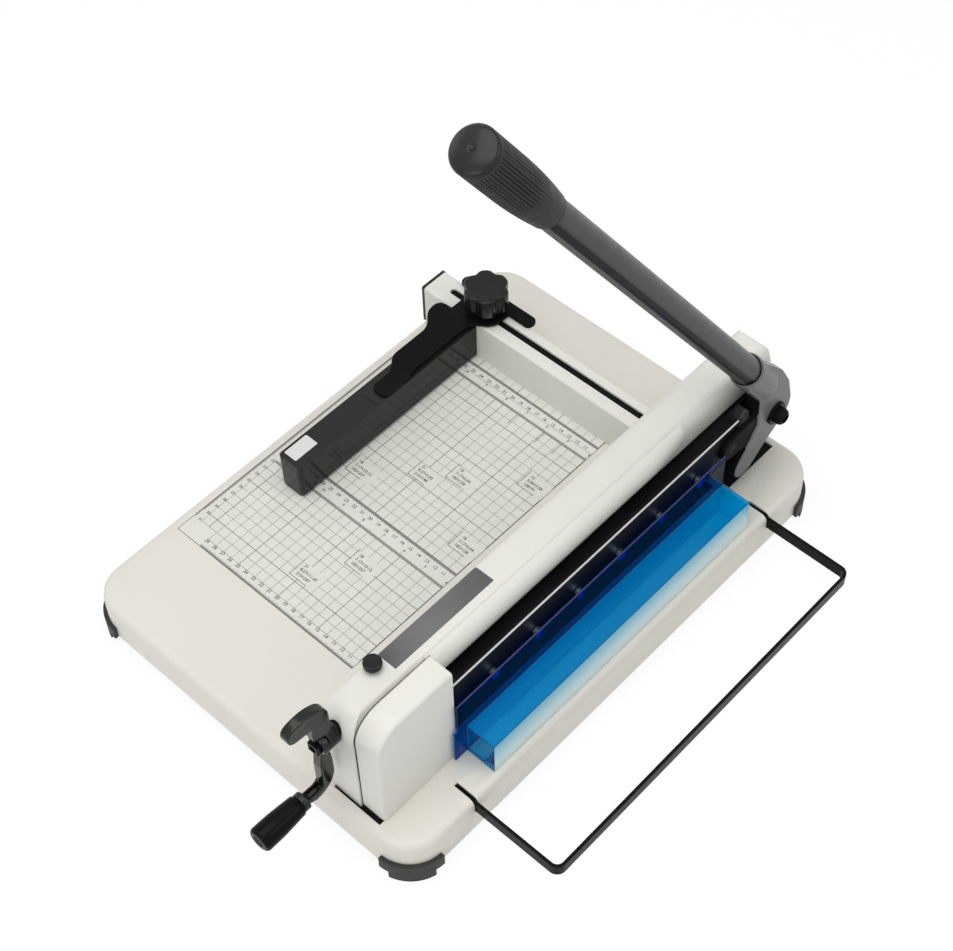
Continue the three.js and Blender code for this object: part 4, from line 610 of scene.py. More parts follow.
def knife_carrier():
    """The carrier: an outer plate with a painted highlight along its top front edge, and a groove between
    it and the beam.
    """
    low, high = box_of("knife_carrier")
    blade = box_of("blade")[1]
    groove_floor, groove_side = blade.z + 1.2, 13.4
    chamfer, groove_chamfer, blade_gap = 1.25, 1.0, 0.3
    rebate = blade.x + blade_gap
    outline = [(rebate, low.z), (high.x, low.z), (high.x, high.z - chamfer),
               (high.x - chamfer, high.z), (groove_side + groove_chamfer, high.z),
               (groove_side, high.z - groove_chamfer), (groove_side, groove_floor),
               (low.x, groove_floor), (low.x, blade.z + blade_gap), (rebate, blade.z + blade_gap)]
    rings = [[at(x, y, z) for x, z in outline] for y in (low.y, high.y)]
    mesh = bar_through("knife_carrier_finish", rings)
    piece = stand_in("knife_carrier", mesh, cast_black)
    add_bevel(piece, width=0.4)
    applied(piece)
    piece.data.materials.append(carrier_painted_highlight)
    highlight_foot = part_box("knife_carrier")[1].z - 2 * MM
    slant = 0.35
    # Faces on the top front chamfer get the painted highlight
    for face in piece.data.polygons:
        if face.center.z > highlight_foot and min(face.normal.x, face.normal.z) > slant:
            face.material_index = 1


knife_carrier()
refined("blade", bright_steel, bevel=0.15)
for number in range(1, 7):
    refined(f"blade_bolt_{number}", bolt_steel_blue_reflection, bevel=0.3)
for name in ("guide_roller", "guard_screw_1", "guard_screw_2", "pivot_nut", "knob_stud",
             "nut_plate"):
    refined(name, bright_steel, bevel=0.3)
for name in ("carrier_pin", "handle_pin"):
    refined(name, cast_black, bevel=0.3)
refined("crank_axle", black_paint, bevel=0.3)
for name in ("axle_gear", "clamp_shaft", "shaft_gear", "pinion_near", "pinion_far",
             "rack_near", "rack_far"):
    refined(name, dark_steel, bevel=0.2)
for name in ("shaft_bracket_near", "shaft_bracket_mid", "shaft_bracket_far", "clamp_plate"):
    refined(name, cast_black)

# Crank castings, side guide and the ends of the stop

GUIDE_EDGE_ROUND = 4.5
GUIDE_LABEL = (-284.4, -269.4, 93.2, 120.6)
GUIDE_LABEL_ROUND, GUIDE_LABEL_LIFT = 1.2, 0.08
GUIDE_SEAM_Y = (187.6, 188.2)
GUIDE_SEAM_LIFT = 0.05


def round_near_edges(shape):
    """Rounds the upright edges at the near end of the side guide."""
    near = min(vertex.co.y for vertex in shape.verts) + EDGE_MARGIN * MM
    shortest = 2 * MM
    round_edges(shape, GUIDE_EDGE_ROUND, segments=6,
                chosen=lambda a, b: max(a.y, b.y) < near and abs(a.z - b.z) > shortest)


def guide_label():
    """The bare label near the guide's end, with rounded corners."""
    x0, x1, y0, y1 = GUIDE_LABEL
    corners = [Vector((x1, y0)), Vector((x1, y1)), Vector((x0, y1)), Vector((x0, y0))]
    level = box_of("guide_block")[1].z + GUIDE_LABEL_LIFT
    steps = 4
    vertices = []
    for index, corner in enumerate(corners):
        back = (corners[index - 1] - corner).normalized()
        ahead = (corners[(index + 1) % len(corners)] - corner).normalized()
        for step in range(steps + 1):
            turn = math.pi / 2 * step / steps
            way = back * (1 - math.sin(turn)) + ahead * (1 - math.cos(turn))
            point = corner + way * GUIDE_LABEL_ROUND
            vertices.append(at(point.x, point.y, level))
    mesh = mesh_from("guide_label", vertices, [tuple(range(len(vertices)))])
    to_object("guide_label", mesh, label_white, "side_guide")


def guide_seam():
    """The seam across the guide's top."""
    low, high = box_of("guide_block")
    left_inset, right_inset = 7.2, 0.7
    seam = (low.x + left_inset, high.x - right_inset, *GUIDE_SEAM_Y)
    flat_quads("guide_seam", [seam], seam_dark, high.z + GUIDE_SEAM_LIFT, "side_guide")


def stop_end():
    """Black trim round the open left end of the paper stop."""
    low, high = box_of("paper_stop")
    out, reach, thick, chamfer = 0.2, 3.0, 2.0, 1.0
    outline = [
        (low.y - out, low.z), (low.y - out, high.z - chamfer), (low.y + chamfer, high.z + out),
        (high.y - chamfer, high.z + out), (high.y + out, high.z - chamfer), (high.y + out, low.z),
        (high.y - thick, low.z), (high.y - thick, high.z - thick),
        (low.y + thick, high.z - thick), (low.y + thick, low.z),
    ]
    rings = [[at(x, y, z) for y, z in outline] for x in (low.x, low.x + reach)]
    to_object("stop_end_trim", bar_through("stop_end_trim", rings), black_plastic)


def stop_inside():
    """A dark sheet inside the paper stop, seen through its slot: painted shade."""
    low, high = box_of("paper_stop")
    inset, depth = 3.0, 3.4
    inside = (low.x + inset, high.x, low.y + inset, high.y - inset)
    flat_quads("stop_inside", [inside], bed_black, high.z - depth)


for name in ("crank_arm", "crank_paddle"):
    soften(refined(name, crank_paint, bevel=0), grain=0.6, passes=9)
for name, width in (("guide_arm", 1.0), ("pivot_washer", 0.4), ("pivot_bolt", 0.6)):
    refined(name, black_paint, bevel=width, segments=4)
refined("guide_block", guide_plastic, bevel=0.9, segments=3,
        change=round_near_edges)
guide_label()
guide_seam()
stop_end()
stop_inside()

# Lever bar, grip and hub, on the lever's own axis

LEVER_RISE = math.radians(55.4)
LEVER_AXIS_OFFSET = 14.1
PIVOT_Y, PIVOT_Z, LEVER_X = 398.5, 72.0, 15.6
LEVER_WAY = Vector((0, -math.cos(LEVER_RISE), math.sin(LEVER_RISE)))
LEVER_ACROSS = Vector((0, math.sin(LEVER_RISE), math.cos(LEVER_RISE)))
LEVER_FOOT = at(LEVER_X, PIVOT_Y, PIVOT_Z) + LEVER_ACROSS * LEVER_AXIS_OFFSET * MM
BAR_START, BAR_LENGTH, BAR_ROOT, BAR_TIP = 54.7, 510.0, 12.9, 12.0
SOCKET_DEPTH = 40.0
GRIP_OVERLAP, GRIP_LENGTH = 30.0, 128.0
GRIP_RADIUS, GRIP_NECK, GRIP_FOOT = 16.6, 13.6, 11.0
RIB_COUNT, RIB_DEPTH, RIB_START, RIB_END = 44, 0.8, 36.0, GRIP_LENGTH - 9.0
HUB_INNER, HUB_OUTER = 13.0, 25.0
LOBE_INNER, LOBE_OUTER = 18.4, 23.3
HUB_ARM_TURN = math.radians(226.4)
SOCKET_REACH, SOCKET_LENGTH, SOCKET_RADIUS = 94.4, 58.0, 15.4
# Painted reflections and shade across the bar, from its upper side at -1 to its lower side at 1
BAR_PAINTED_TONES = ((-1.0, 0.06), (-0.8, 0.1), (-0.45, 0.09), (0.35, 0.085), (0.5, 0.06), (0.58, 0.003),
             (0.86, 0.003), (0.92, 0.11), (1.0, 0.05))
bar_painted_reflections = round_bar_paint("bar_painted_reflections", LEVER_WAY.cross(VIEW_WAY).normalized(), BAR_PAINTED_TONES)


def on_axis(along):
    """A place on the lever's axis, in metres, from millimetres past the foot of the axis."""
    return LEVER_FOOT + LEVER_WAY * along * MM


def beside_axis(along, across):
    """Y and Z on the machine's scales of a place measured along and across the lever's axis."""
    place = (on_axis(along) + LEVER_ACROSS * across * MM - ZERO) / MM
    return place.y, place.z


def lever_bar():
    """The painted bar from its socket to its tip inside the grip."""
    chamfer = 0.6
    profile = [(0, 0), (BAR_ROOT - chamfer, 0), (BAR_ROOT, chamfer), (BAR_ROOT, SOCKET_DEPTH),
               (BAR_TIP, BAR_LENGTH), (0, BAR_LENGTH)]
    mesh = turned("lever_bar_finish", profile, on_axis(BAR_START), LEVER_WAY)
    stand_in("lever_bar", mesh, bar_painted_reflections)


def grip_ribs(along, turn):
    """How deep the grip's grooves are at a place; they run out towards the neck."""
    fade_in, fade_out, sharpness = 24.0, 1.2, 4
    if not RIB_START < along < RIB_END:
        return 0.0
    fade = min(1.0, (along - RIB_START) / fade_in, (RIB_END - along) / fade_out)
    wave = 0.5 + 0.5 * math.cos(turn * RIB_COUNT)
    return RIB_DEPTH * fade * wave ** sharpness


def grip_body():
    """The profile of the grip from its neck to the cap, swelling to its full radius."""
    lip, swell_start, swell_end = 0.8, GRIP_FOOT + 2.0, 74.0
    start, end = GRIP_FOOT + lip, GRIP_LENGTH - 7.6
    steps = 48
    profile = [(GRIP_NECK - lip, GRIP_FOOT), (GRIP_NECK, start)]
    for step in range(1, steps + 1):
        along = start + (end - start) * step / steps
        share = min(1.0, max(0.0, (along - swell_start) / (swell_end - swell_start)))
        radius = GRIP_NECK + (GRIP_RADIUS - GRIP_NECK) * share * (2 - share)
        profile.append((radius, along))
    return profile


def grip_cap(cap):
    """The profile of the domed cap, with a groove round its foot and a pip in its middle."""
    groove, edge = 0.35, 0.1
    dome_radius, dome_foot, dome_height, dome_steps = GRIP_RADIUS - 0.5, cap + 1.7, 4.2, 12
    profile = [(GRIP_RADIUS, cap - 0.3), (GRIP_RADIUS - groove, cap),
               (GRIP_RADIUS - groove, cap + 0.5), (GRIP_RADIUS, cap + 0.8),
               (GRIP_RADIUS - edge, cap + 1.6)]
    for step in range(1, dome_steps):
        turn = math.pi / 2 * step / dome_steps
        profile.append((dome_radius * math.cos(turn), dome_foot + dome_height * math.sin(turn)))
    pip = GRIP_LENGTH - 0.9
    return profile + [(1.6, pip), (1.5, pip + 0.6), (0.8, GRIP_LENGTH), (0, GRIP_LENGTH)]


def lever_grip():
    """The ribbed grip with its smooth cap."""
    start = on_axis(BAR_START + BAR_LENGTH - GRIP_OVERLAP)
    cap = GRIP_LENGTH - 6.6
    gap = 0.3
    profile = [(0, GRIP_OVERLAP), (BAR_TIP + gap, GRIP_OVERLAP), (BAR_TIP + gap + 0.1, GRIP_FOOT)]
    profile += grip_body() + grip_cap(cap)
    mesh = turned("lever_grip_finish", profile, start, LEVER_WAY, steps=288, ribs=grip_ribs)
    piece = stand_in("lever_grip", mesh, grip_plastic)
    piece.data.materials.append(cap_plastic)
    cap_seam = (cap + 0.9) * MM
    for face in piece.data.polygons:
        if (face.center - start).dot(LEVER_WAY) > cap_seam:
            face.material_index = 1


def hull_plate(shape, circles, x0, x1, steps=96):
    """Adds the upright plate that wraps circles, each (y, z, radius), to a mesh."""
    flat = bmesh.new()
    for y, z, radius in circles:
        for step in range(steps):
            turn = 2 * math.pi * step / steps
            for x in (x0, x1):
                flat.verts.new(at(x, y + radius * math.cos(turn), z + radius * math.sin(turn)))
    bmesh.ops.convex_hull(flat, input=flat.verts)
    bmesh.ops.delete(flat, geom=[v for v in flat.verts if not v.link_faces], context="VERTS")
    mesh = mesh_of("plate", flat)
    shape.from_mesh(mesh)
    bpy.data.meshes.remove(mesh)


def on_hub_arm(along, radius):
    """A circle on the arm that reaches from the pivot to the knife's pin."""
    return (PIVOT_Y + along * math.cos(HUB_ARM_TURN), PIVOT_Z + along * math.sin(HUB_ARM_TURN),
            radius)


def hub_socket():
    """The tube at the hub's end that holds the bar, with a rounded foot."""
    profile = [(0, 0), (7.0, 0.3), (11.5, 3.5), (14.2, 8.0), (SOCKET_RADIUS, 13.0),
               (SOCKET_RADIUS, SOCKET_LENGTH - 1.0), (SOCKET_RADIUS - 1.0, SOCKET_LENGTH),
               (0, SOCKET_LENGTH)]
    return turned("socket", profile, on_axis(SOCKET_REACH - SOCKET_LENGTH), LEVER_WAY)


def blacken_recess(piece):
    """Paints shade on the hub's sunk places beside and under the socket, with a darker copy of the hub's
    paint.
    """
    piece.data.materials.append(hub_painted_shade)
    under, beside, deepest = SOCKET_REACH - SOCKET_LENGTH - 2.0, -15.0, HUB_OUTER - 1.2
    for face in piece.data.polygons:
        along = (face.center - LEVER_FOOT).dot(LEVER_WAY) / MM
        across = (face.center - LEVER_FOOT).dot(LEVER_ACROSS) / MM
        sunk = (face.center - ZERO).x / MM < deepest
        if sunk and (along < under or across < beside):
            face.material_index = 1


def lever_hub():
    """The hub as one soft casting: head, arm, lobe to the knife's pin, neck and socket."""
    head = on_hub_arm(0.0, 23.2)
    bulge = on_hub_arm(27.0, 17.0)
    tip = on_hub_arm(53.9, 14.0)
    back = (*beside_axis(20.0, -5.0), 21.6)
    shoulder = (*beside_axis(42.0, 2.5), 16.4)
    collar = (*beside_axis(SOCKET_REACH - 14.4, 0.0), 14.0)
    pin_place = sum(box_of("carrier_pin"), Vector()) / 2
    pin = (pin_place.y, pin_place.z, 13.0)
    shape = bmesh.new()
    for circles in ((head, bulge), (bulge, tip), (head, back, shoulder), (shoulder, collar)):
        hull_plate(shape, circles, HUB_INNER, HUB_OUTER)
    hull_plate(shape, (on_hub_arm(0.0, 21.0), pin), LOBE_INNER, LOBE_OUTER)
    socket = hub_socket()
    shape.from_mesh(socket)
    bpy.data.meshes.remove(socket)
    piece = stand_in("lever_hub", mesh_of("lever_hub_finish", shape), hub_paint_painted_reflection)
    soften(piece, grain=0.9, passes=6)
    blacken_recess(piece)


def socket_ring():
    """The dark gap round the bar at the socket's mouth."""
    radius, height, sunk = BAR_ROOT + 1.1, 0.5, 0.2
    profile = [(0, 0), (radius, 0.0), (radius, height), (0, height)]
    mesh = turned("socket_ring", profile, on_axis(SOCKET_REACH - sunk), LEVER_WAY)
    to_object("socket_ring", mesh, black_paint, "lever")


lever_bar()
lever_grip()
lever_hub()
socket_ring()

# Knob, crank handle and push button

KNOB_X, KNOB_Y = -261.5, 335.0
KNOB_RADIUS, KNOB_LOBES, KNOB_LOBE_DEPTH, KNOB_TURN = 22.0, 6, 3.0, 14.3
KNOB_COLLAR_RADIUS, KNOB_COLLAR_HEIGHT = 9.0, 10.0


def knob_ring(height, radius, lobe_depth, steps=240):
    """Points round the knob at a height, drawn in between the lobes."""
    ring = []
    for step in range(steps):
        turn = 2 * math.pi * step / steps
        wave = (1 - math.cos(turn * KNOB_LOBES)) / 2
        reach = radius - lobe_depth * wave ** 2
        plan = turn + math.radians(KNOB_TURN)
        ring.append(at(KNOB_X + reach * math.cos(plan), KNOB_Y + reach * math.sin(plan), height))
    return ring


def guide_knob():
    """The lobed knob: a round collar, and over it a head with rounded rims and a hollow top."""
    low, high = (corner.z for corner in box_of("guide_knob"))
    head = low + KNOB_COLLAR_HEIGHT
    collar = [(low, KNOB_COLLAR_RADIUS), (head - 0.4, KNOB_COLLAR_RADIUS)]
    drawn_in = [(head, 3.0), (head + 0.4, 1.2), (head + 1.6, 0.0), (high - 2.6, 0.0),
                (high - 1.2, 0.35), (high - 0.4, 1.1), (high, 2.2), (high - 0.15, 4.5)]
    rings = [knob_ring(height, radius, 0.0) for height, radius in collar]
    rings += [knob_ring(height, KNOB_RADIUS - inset, KNOB_LOBE_DEPTH) for height, inset in drawn_in]
    hollow = 0.3
    mesh = domed_through("guide_knob_finish", rings, at(KNOB_X, KNOB_Y, low),
                         at(KNOB_X, KNOB_Y, high - hollow), sharp=50)
    stand_in("guide_knob", mesh, black_plastic)


def crank_handle():
    """The crank's turning handle: a round end with a sunk middle, tapering to a neck."""
    low, high = box_of("crank_handle")
    length = high.y - low.y
    radius = (high.x - low.x) / 2
    neck, hole = radius - 1.8, 3.3
    sink, sink_depth, lip = 4.9, 2.3, 0.4
    end_round = 3.4
    profile = [(0, sink_depth), (sink, sink_depth), (sink, lip), (sink + lip, 0.0)]
    profile += arc(radius - end_round, end_round, end_round, -90, 0, steps=10)
    profile += [(radius, 9.0), (radius - 0.2, length * 0.45), (neck + 0.3, length - 6.0),
                (neck, length - 1.5), (neck - 1.2, length), (hole, length), (0, length)]
    middle = (low + high) / 2
    foot = at(middle.x, low.y, middle.z)
    mesh = turned("crank_handle_finish", profile, foot, Vector((0, 1, 0)))
    stand_in("crank_handle", mesh, handle_plastic)


def clamp_button():
    """The push button on the beam: a stem and a round cap with a soft rim."""
    low, high = box_of("clamp_button")
    radius = (high.x - low.x) / 2
    height = high.z - low.z
    cap_foot, stem, lip, rim_round = height - 5.0, 4.0, 0.4, 1.4
    profile = [(0, 0), (stem, 0), (stem, cap_foot), (radius - lip, cap_foot),
               (radius, cap_foot + lip)]
    profile += arc(radius - rim_round, height - rim_round, rim_round, 0, 90)
    profile += [(radius - 3.0, height - 0.1), (0, height - 0.25)]
    middle = (low + high) / 2
    mesh = turned("clamp_button_finish", profile, at(middle.x, middle.y, low.z), Vector((0, 0, 1)))
    stand_in("clamp_button", mesh, black_plastic)


guide_knob()
crank_handle()
clamp_button()

# Printed table: squares of a centimetre, three rulers, and corner marks of sheet sizes

PRINT_LIFT = 0.06
CELL = 10.0
INCH = 25.4
SCALE_LEFT, GRID_LEFT, GRID_RIGHT = -319.5, -310.0, -99.6
NEAR_EDGE, FAR_EDGE = -9.8, 320.0
MIDDLE_RULER = (100.0, 120.0)
FAR_RULER = (290.0, 310.0)
STOP_LINE = 320.0
THIN_LINE, DARK_LINE, TICK_LINE = 0.3, 0.55, 0.25
BAND = 2.6
EDGE_BAND = 1.7
LONG_TICK, HALF_INCH_TICK, INCH_TICK = 3.6, 3.8, 5.0
BARE_CORNER = (-320.0, -290.3, -10.0, 10.0)
MARK_LEG = 20.0
# Each sheet's mark: way from the cutting line and from the stop, then the sheet's two sides
SHEET_MARKS = ((210, 297, 210, 297), (182, 257, 182, 257), (257, 182, 182, 257),
               (210, 148, 210, 148), (182, 128, 182, 128), (128, 182, 182, 128),
               (128, 91, 128, 91))
STOP_MARKS, STOP_MARK_LENGTH = (-210.0, -182.0, -148.3, -128.0), 14.0


def label_box(mark):
    """The bare patch in the squares where a sheet's numbers stand."""
    left, right, near, far = 1.5, 29.0, 0.8, 18.0
    x, y = -mark[0], STOP_LINE - mark[1]
    return (x + left, min(x + right, GRID_RIGHT), y + near, y + far)


BARE_PATCHES = [label_box(mark) for mark in SHEET_MARKS] + [BARE_CORNER]


def clear_runs(low, high, blocks):
    """What is left of the stretch from low to high outside the blocks."""
    runs = [(low, high)]
    for start, end in blocks:
        kept = []
        for a, b in runs:
            if end <= a or start >= b:
                kept.append((a, b))
                continue
            if a < start:
                kept.append((a, start))
            if end < b:
                kept.append((end, b))
        runs = kept
    return runs


def line_across(y, x0, x1, width):
    """A line from left to right that stops at the bare patches."""
    blocks = [(x_low, x_high) for x_low, x_high, y_low, y_high in BARE_PATCHES
              if y_low < y < y_high]
    return [(a, b, y - width / 2, y + width / 2) for a, b in clear_runs(x0, x1, blocks)]


def line_along(x, y0, y1, width):
    """A line from near to far that stops at the bare patches."""
    blocks = [(y_low, y_high) for x_low, x_high, y_low, y_high in BARE_PATCHES
              if x_low < x < x_high]
    return [(x - width / 2, x + width / 2, a, b) for a, b in clear_runs(y0, y1, blocks)]


def tick_up(x, y0, y1):
    """A tick at an x, from one y to another."""
    return (x - TICK_LINE / 2, x + TICK_LINE / 2, y0, y1)


def grid_lines():
    """The squares between the rulers and the frame round them; each fifth line is darker."""
    first_column, rows, columns = 10, 33, 32
    dark_row = 2
    near_frame, left_frame = (NEAR_EDGE - 0.4, NEAR_EDGE + 0.2), (SCALE_LEFT - 0.2, SCALE_LEFT + 0.3)
    ruler_middle = (299.6, 299.9)
    quads = []
    for row in range(rows):
        y = row * CELL
        if MIDDLE_RULER[0] < y < MIDDLE_RULER[1] or FAR_RULER[0] < y < FAR_RULER[1]:
            continue
        width = DARK_LINE if row % 5 == dark_row else THIN_LINE
        quads += line_across(y, GRID_LEFT, GRID_RIGHT, width)
    stretches = ((0.0, MIDDLE_RULER[0]), (MIDDLE_RULER[1], FAR_RULER[0]), (FAR_RULER[1], FAR_EDGE))
    for column in range(first_column, columns):
        width = DARK_LINE if column % 5 == 0 else THIN_LINE
        for y0, y1 in stretches:
            quads += line_along(-column * CELL, y0, y1, width)
    quads += line_along(GRID_RIGHT, NEAR_EDGE, FAR_EDGE, DARK_LINE)
    quads.append((SCALE_LEFT, GRID_RIGHT, *near_frame))
    quads.append((*left_frame, NEAR_EDGE, FAR_EDGE))
    quads.append((GRID_LEFT, GRID_RIGHT, *ruler_middle))
    return quads


def ruler_ticks():
    """Millimetres and eighths of an inch along the rulers' edges."""
    millimetres, scale_millimetres = 192, 300
    first_eighth, eighths = 32, 98
    quads = []
    for step in range(millimetres):
        x = GRID_RIGHT - step
        size = LONG_TICK if step % 5 == 0 else BAND
        for y in (MIDDLE_RULER[1], FAR_RULER[1]):
            quads.append(tick_up(x, y - size, y))
        quads.append(tick_up(x, NEAR_EDGE, NEAR_EDGE + size))
    for step in range(first_eighth, eighths):
        x = -step * INCH / 8
        if x > GRID_RIGHT or x < GRID_LEFT:
            continue
        size = INCH_TICK if step % 8 == 0 else (HALF_INCH_TICK if step % 4 == 0 else BAND)
        for y in (MIDDLE_RULER[0], FAR_RULER[0]):
            quads.append(tick_up(x, y, y + size))
    for step in range(scale_millimetres):
        y = STOP_LINE - step
        size = LONG_TICK if step % 5 == 0 else BAND
        if y >= BARE_CORNER[3]:
            quads.append((SCALE_LEFT, SCALE_LEFT + size, y - TICK_LINE / 2, y + TICK_LINE / 2))
    return quads


def ruler_bands():
    """The grey bands that the ticks stand in."""
    quads = []
    for low, high in (MIDDLE_RULER, FAR_RULER):
        quads.append((GRID_LEFT, GRID_RIGHT, high - BAND, high))
        quads.append((GRID_LEFT, GRID_RIGHT, low, low + BAND))
    quads.append((BARE_CORNER[1], GRID_RIGHT, NEAR_EDGE, NEAR_EDGE + EDGE_BAND))
    quads.append((SCALE_LEFT, SCALE_LEFT + EDGE_BAND, BARE_CORNER[3], FAR_EDGE))
    return quads


def sheet_marks():
    """The corner marks of the sheet sizes, and short marks at the far ruler."""
    half = DARK_LINE / 2
    quads = []
    for mark in SHEET_MARKS:
        x, y = -mark[0], STOP_LINE - mark[1]
        quads.append((x - half, x + half, y, y + MARK_LEG))
        quads.append((x - half, x + MARK_LEG, y - half, y + half))
    for x in STOP_MARKS:
        quads.append((x - half, x + half, FAR_RULER[0] - STOP_MARK_LENGTH, FAR_RULER[0]))
    return quads


def scale_figures(entries):
    """Numbers lying on the table: (text, x, y, size, alignment) joined in one mesh."""
    boldness = 0.07
    shape = bmesh.new()
    for text, x, y, size, align in entries:
        curve = bpy.data.curves.new("figure", "FONT")
        curve.body = text
        curve.size = size * MM
        curve.offset = boldness * MM
        curve.align_x = align
        curve.align_y = "CENTER"
        curve.resolution_u = 3
        holder = placed("figure", curve)
        bpy.context.view_layer.update()
        graph = bpy.context.evaluated_depsgraph_get()
        mesh = bpy.data.meshes.new_from_object(holder.evaluated_get(graph))
        mesh.transform(Matrix.Translation(at(x, y, PRINT_LIFT * 1.5)))
        shape.from_mesh(mesh)
        bpy.data.objects.remove(holder)
        bpy.data.curves.remove(curve)
        bpy.data.meshes.remove(mesh)
    to_object("scale_figures", mesh_of("scale_figures", shape), ink)


def ruler_figures():
    """Centimetres along the three rulers and the left edge, and inches along two rulers."""
    figure_size, small_size = 4.7, 3.9
    beside, right_limit = 0.6, GRID_RIGHT - 1.2
    rows = (MIDDLE_RULER[1] - 7.4, FAR_RULER[1] - 7.6, -2.2)
    inch_rows = (MIDDLE_RULER[0] + 7.4, FAR_RULER[0] + 7.4)
    left_column = -312.2
    places = [(number, -number * CELL + beside, y, figure_size)
              for number in range(11, 30) for y in rows]
    places += [(number, min(-number * INCH + beside, right_limit), y, small_size)
               for number in range(4, 13) for y in inch_rows]
    places += [(number, left_column, STOP_LINE - number * CELL, small_size)
               for number in range(1, 32)]
    return [(str(number), x, y, size, "CENTER") for number, x, y, size in places]


def sheet_figures():
    """Each sheet's size beside its mark: its width in centimetres, then inches and millimetres."""
    label_size, indent = 4.4, 4.0
    rises = (15.0, 9.8, 4.6)
    entries = []
    for across, along, width, height in SHEET_MARKS:
        lines = (f"{width // 10}", f"{width / INCH:.2f}×{height / INCH:.2f}",
                 f"{width}×{height}")
        for text, rise in zip(lines, rises):
            entries.append((text, indent - across, STOP_LINE - along + rise, label_size, "LEFT"))
    return entries


flat_quads("table_sheet", [(SCALE_LEFT, GRID_RIGHT, NEAR_EDGE, FAR_EDGE - 1.0)], sheet_ivory,
           PRINT_LIFT * 0.25)
flat_quads("scale_bands", ruler_bands(), grey_ink, PRINT_LIFT * 0.5)
flat_quads("scale_lines", grid_lines(), ink, PRINT_LIFT)
flat_quads("scale_ticks", ruler_ticks(), ink, PRINT_LIFT * 1.5)
flat_quads("sheet_marks", sheet_marks(), ink, PRINT_LIFT * 1.5)
scale_figures(ruler_figures() + sheet_figures())

# Bare label on the beam

BEAM_LABEL = (-38.6, -18.2, -32.0, 80.5)
BEAM_ROUND = 8.0


def beam_label():
    """A bare grey label that follows the beam's rounded edge."""
    x0, x1, y0, y1 = BEAM_LABEL
    low, high = box_of("beam_housing")
    centre = low.x + BEAM_ROUND
    steps = 24
    lift, thickness = 0.15, 0.135
    shape = bmesh.new()
    rows = []
    for step in range(steps + 1):
        x = x0 + (x1 - x0) * step / steps
        fall = 0.0
        if x < centre:
            fall = BEAM_ROUND - math.sqrt(BEAM_ROUND ** 2 - (centre - x) ** 2)
        rows.append([shape.verts.new(at(x, y, high.z - fall + lift)) for y in (y0, y1)])
    for near, far in zip(rows, rows[1:]):
        face = shape.faces.new((near[0], far[0], far[1], near[1]))
        face.smooth = True
    mesh = mesh_of("beam_label", shape)
    piece = to_object("beam_label", mesh, label_grey)
    solid = piece.modifiers.new("sheet", "SOLIDIFY")
    solid.thickness = thickness * MM
    solid.offset = -1
    applied(piece)


beam_label()

# Stage, lamps and camera, in metres


def seen_directly(tree):
    """1 for what the camera sees, also in a mirror or through glass, and 0 for scattered light."""
    path = tree.nodes.new("ShaderNodeLightPath")
    result = path.outputs["Is Camera Ray"]
    for way in ("Is Glossy Ray", "Is Transmission Ray"):
        either = add_node(tree, "ShaderNodeMath", {0: result, 1: path.outputs[way]}, "MAXIMUM")
        result = either.outputs[0]
    return result


def plain_white(name, glow_share):
    """White that the camera sees as pure white by the share given, and that holds shadows."""
    material, tree, shader, _ = new_material(name)
    feed(shader, {"Base Color": (0.9, 0.9, 0.9, 1), "Roughness": 0.9})
    glow = add_node(tree, "ShaderNodeEmission", {"Color": (1, 1, 1, 1), "Strength": 1.03})
    share = add_node(tree, "ShaderNodeMath", {0: seen_directly(tree), 1: glow_share}, "MULTIPLY")
    mix_shaders(tree, share.outputs[0], shader, glow, "Material Output")
    return material


def stage_sheet(name, outline, z, material):
    """A level sheet of the stage."""
    mesh = mesh_from(name, [(x, y, z) for x, y in outline], [tuple(range(len(outline)))])
    mesh.materials.append(material)
    placed(name, mesh)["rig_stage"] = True


def floor():
    """The white floor."""
    half, gap = 4.0, 0.0002
    outline = [(-half, -half), (half, -half), (half, half), (-half, half)]
    stage_sheet("floor", outline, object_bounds()[0][2] - gap, plain_white("floor_white", glow_share=0.88))


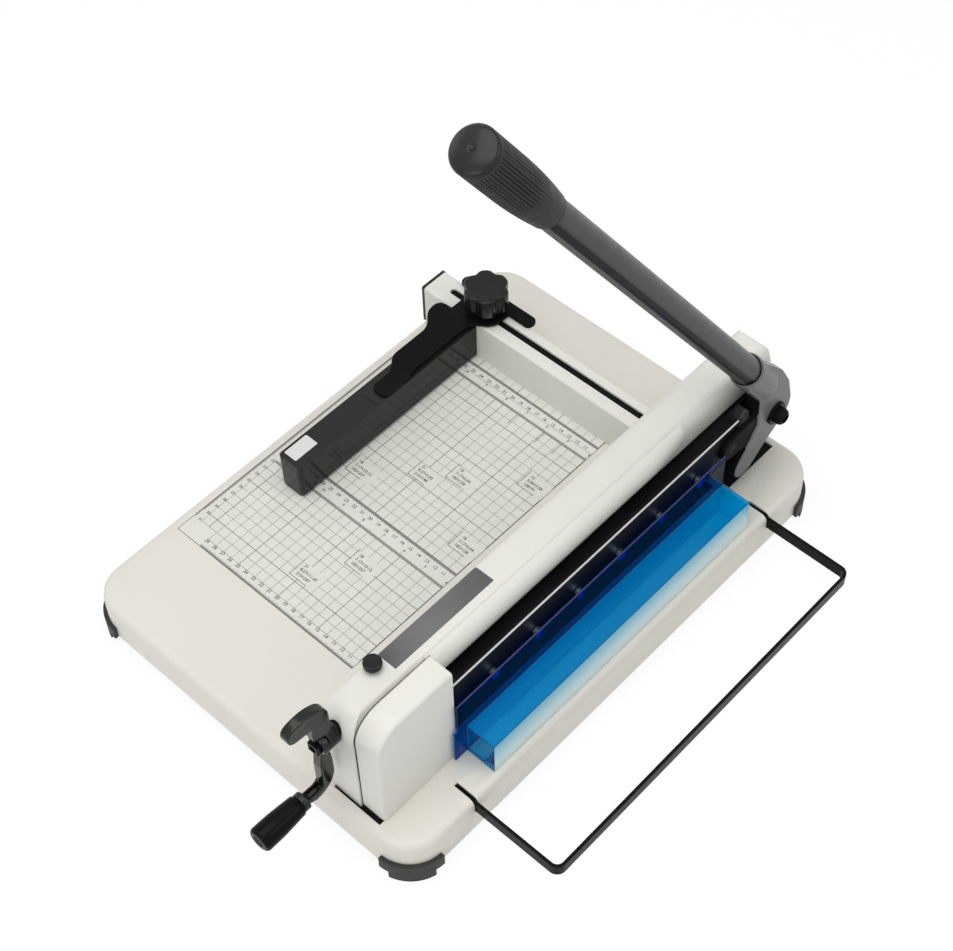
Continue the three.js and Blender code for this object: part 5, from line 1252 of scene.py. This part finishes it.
def floor_shade():
    """A plain dark sheet under the pan, so that no white shows through slits."""
    low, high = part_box("base_pan")
    inset, corner, gap = 0.006, 0.024, 0.0001
    x0, x1, y0, y1 = low.x + inset, high.x - inset, low.y + inset, high.y - inset
    outline = [(x0 + corner, y0), (x1 - corner, y0), (x1, y0 + corner), (x1, y1 - corner),
               (x1 - corner, y1), (x0 + corner, y1), (x0, y1 - corner), (x0, y0 + corner)]
    material, _, shader, _ = new_material("floor_shade")
    feed(shader, {"Base Color": (0.03, 0.03, 0.03, 1)})
    stage_sheet("floor_shade", outline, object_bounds()[0][2] - gap, material)


def world():
    """Soft cool light from all round, which the camera sees as white."""
    scene = bpy.context.scene
    scene.world = bpy.data.worlds.new("studio")
    scene.world.use_nodes = True
    tree = scene.world.node_tree
    light = add_node(tree, "ShaderNodeBackground", {"Color": (0.95, 0.97, 1.0, 1), "Strength": 0.35})
    seen = add_node(tree, "ShaderNodeBackground", {"Color": (1, 1, 1, 1), "Strength": 1.0})
    mix_shaders(tree, seen_directly(tree), light, seen, "World Output")


def lamp(name, place, target, size, power):
    """A rectangular lamp that looks at its target."""
    data = bpy.data.lights.new(name, "AREA")
    data.shape = "RECTANGLE"
    data.size, data.size_y = size
    data.energy = power
    holder = placed(name, data)
    holder.location = place
    holder.rotation_euler = (Vector(target) - Vector(place)).to_track_quat("-Z", "Y").to_euler()


def camera():
    """The camera at the photo's place, found from the table's squares."""
    place = at(586.33, -555.96, 1372.73)
    forward = VIEW_WAY.normalized()
    roughly_up = Vector((-0.52637, 0.58699, 0.61512)).normalized()
    right = forward.cross(roughly_up).normalized()
    up = right.cross(forward)
    data = bpy.data.cameras.new("camera")
    data.sensor_width = 36.0
    data.lens = 72.49
    data.clip_end = 20.0
    holder = placed("camera", data)
    turn = Matrix((right, up, -forward)).transposed().to_4x4()
    holder.matrix_world = Matrix.Translation(place) @ turn
    bpy.context.scene.camera = holder


floor()
floor_shade()
world()
lamp("key", (0.1, -0.25, 2.1), (0, 0, 0.1), (1.8, 1.8), 26.0)
lamp("left", (-2.0, -0.6, 1.3), (0, 0, 0.1), (1.2, 1.2), 5.0)
lamp("front", (0.4, -2.1, 1.1), (0, 0, 0.1), (1.6, 0.8), 9.5)
lamp("right", (1.7, 0.9, 1.5), (0, 0.1, 0.1), (1.2, 1.2), 6.5)
camera()
bpy.context.scene.view_settings.view_transform = "Standard"
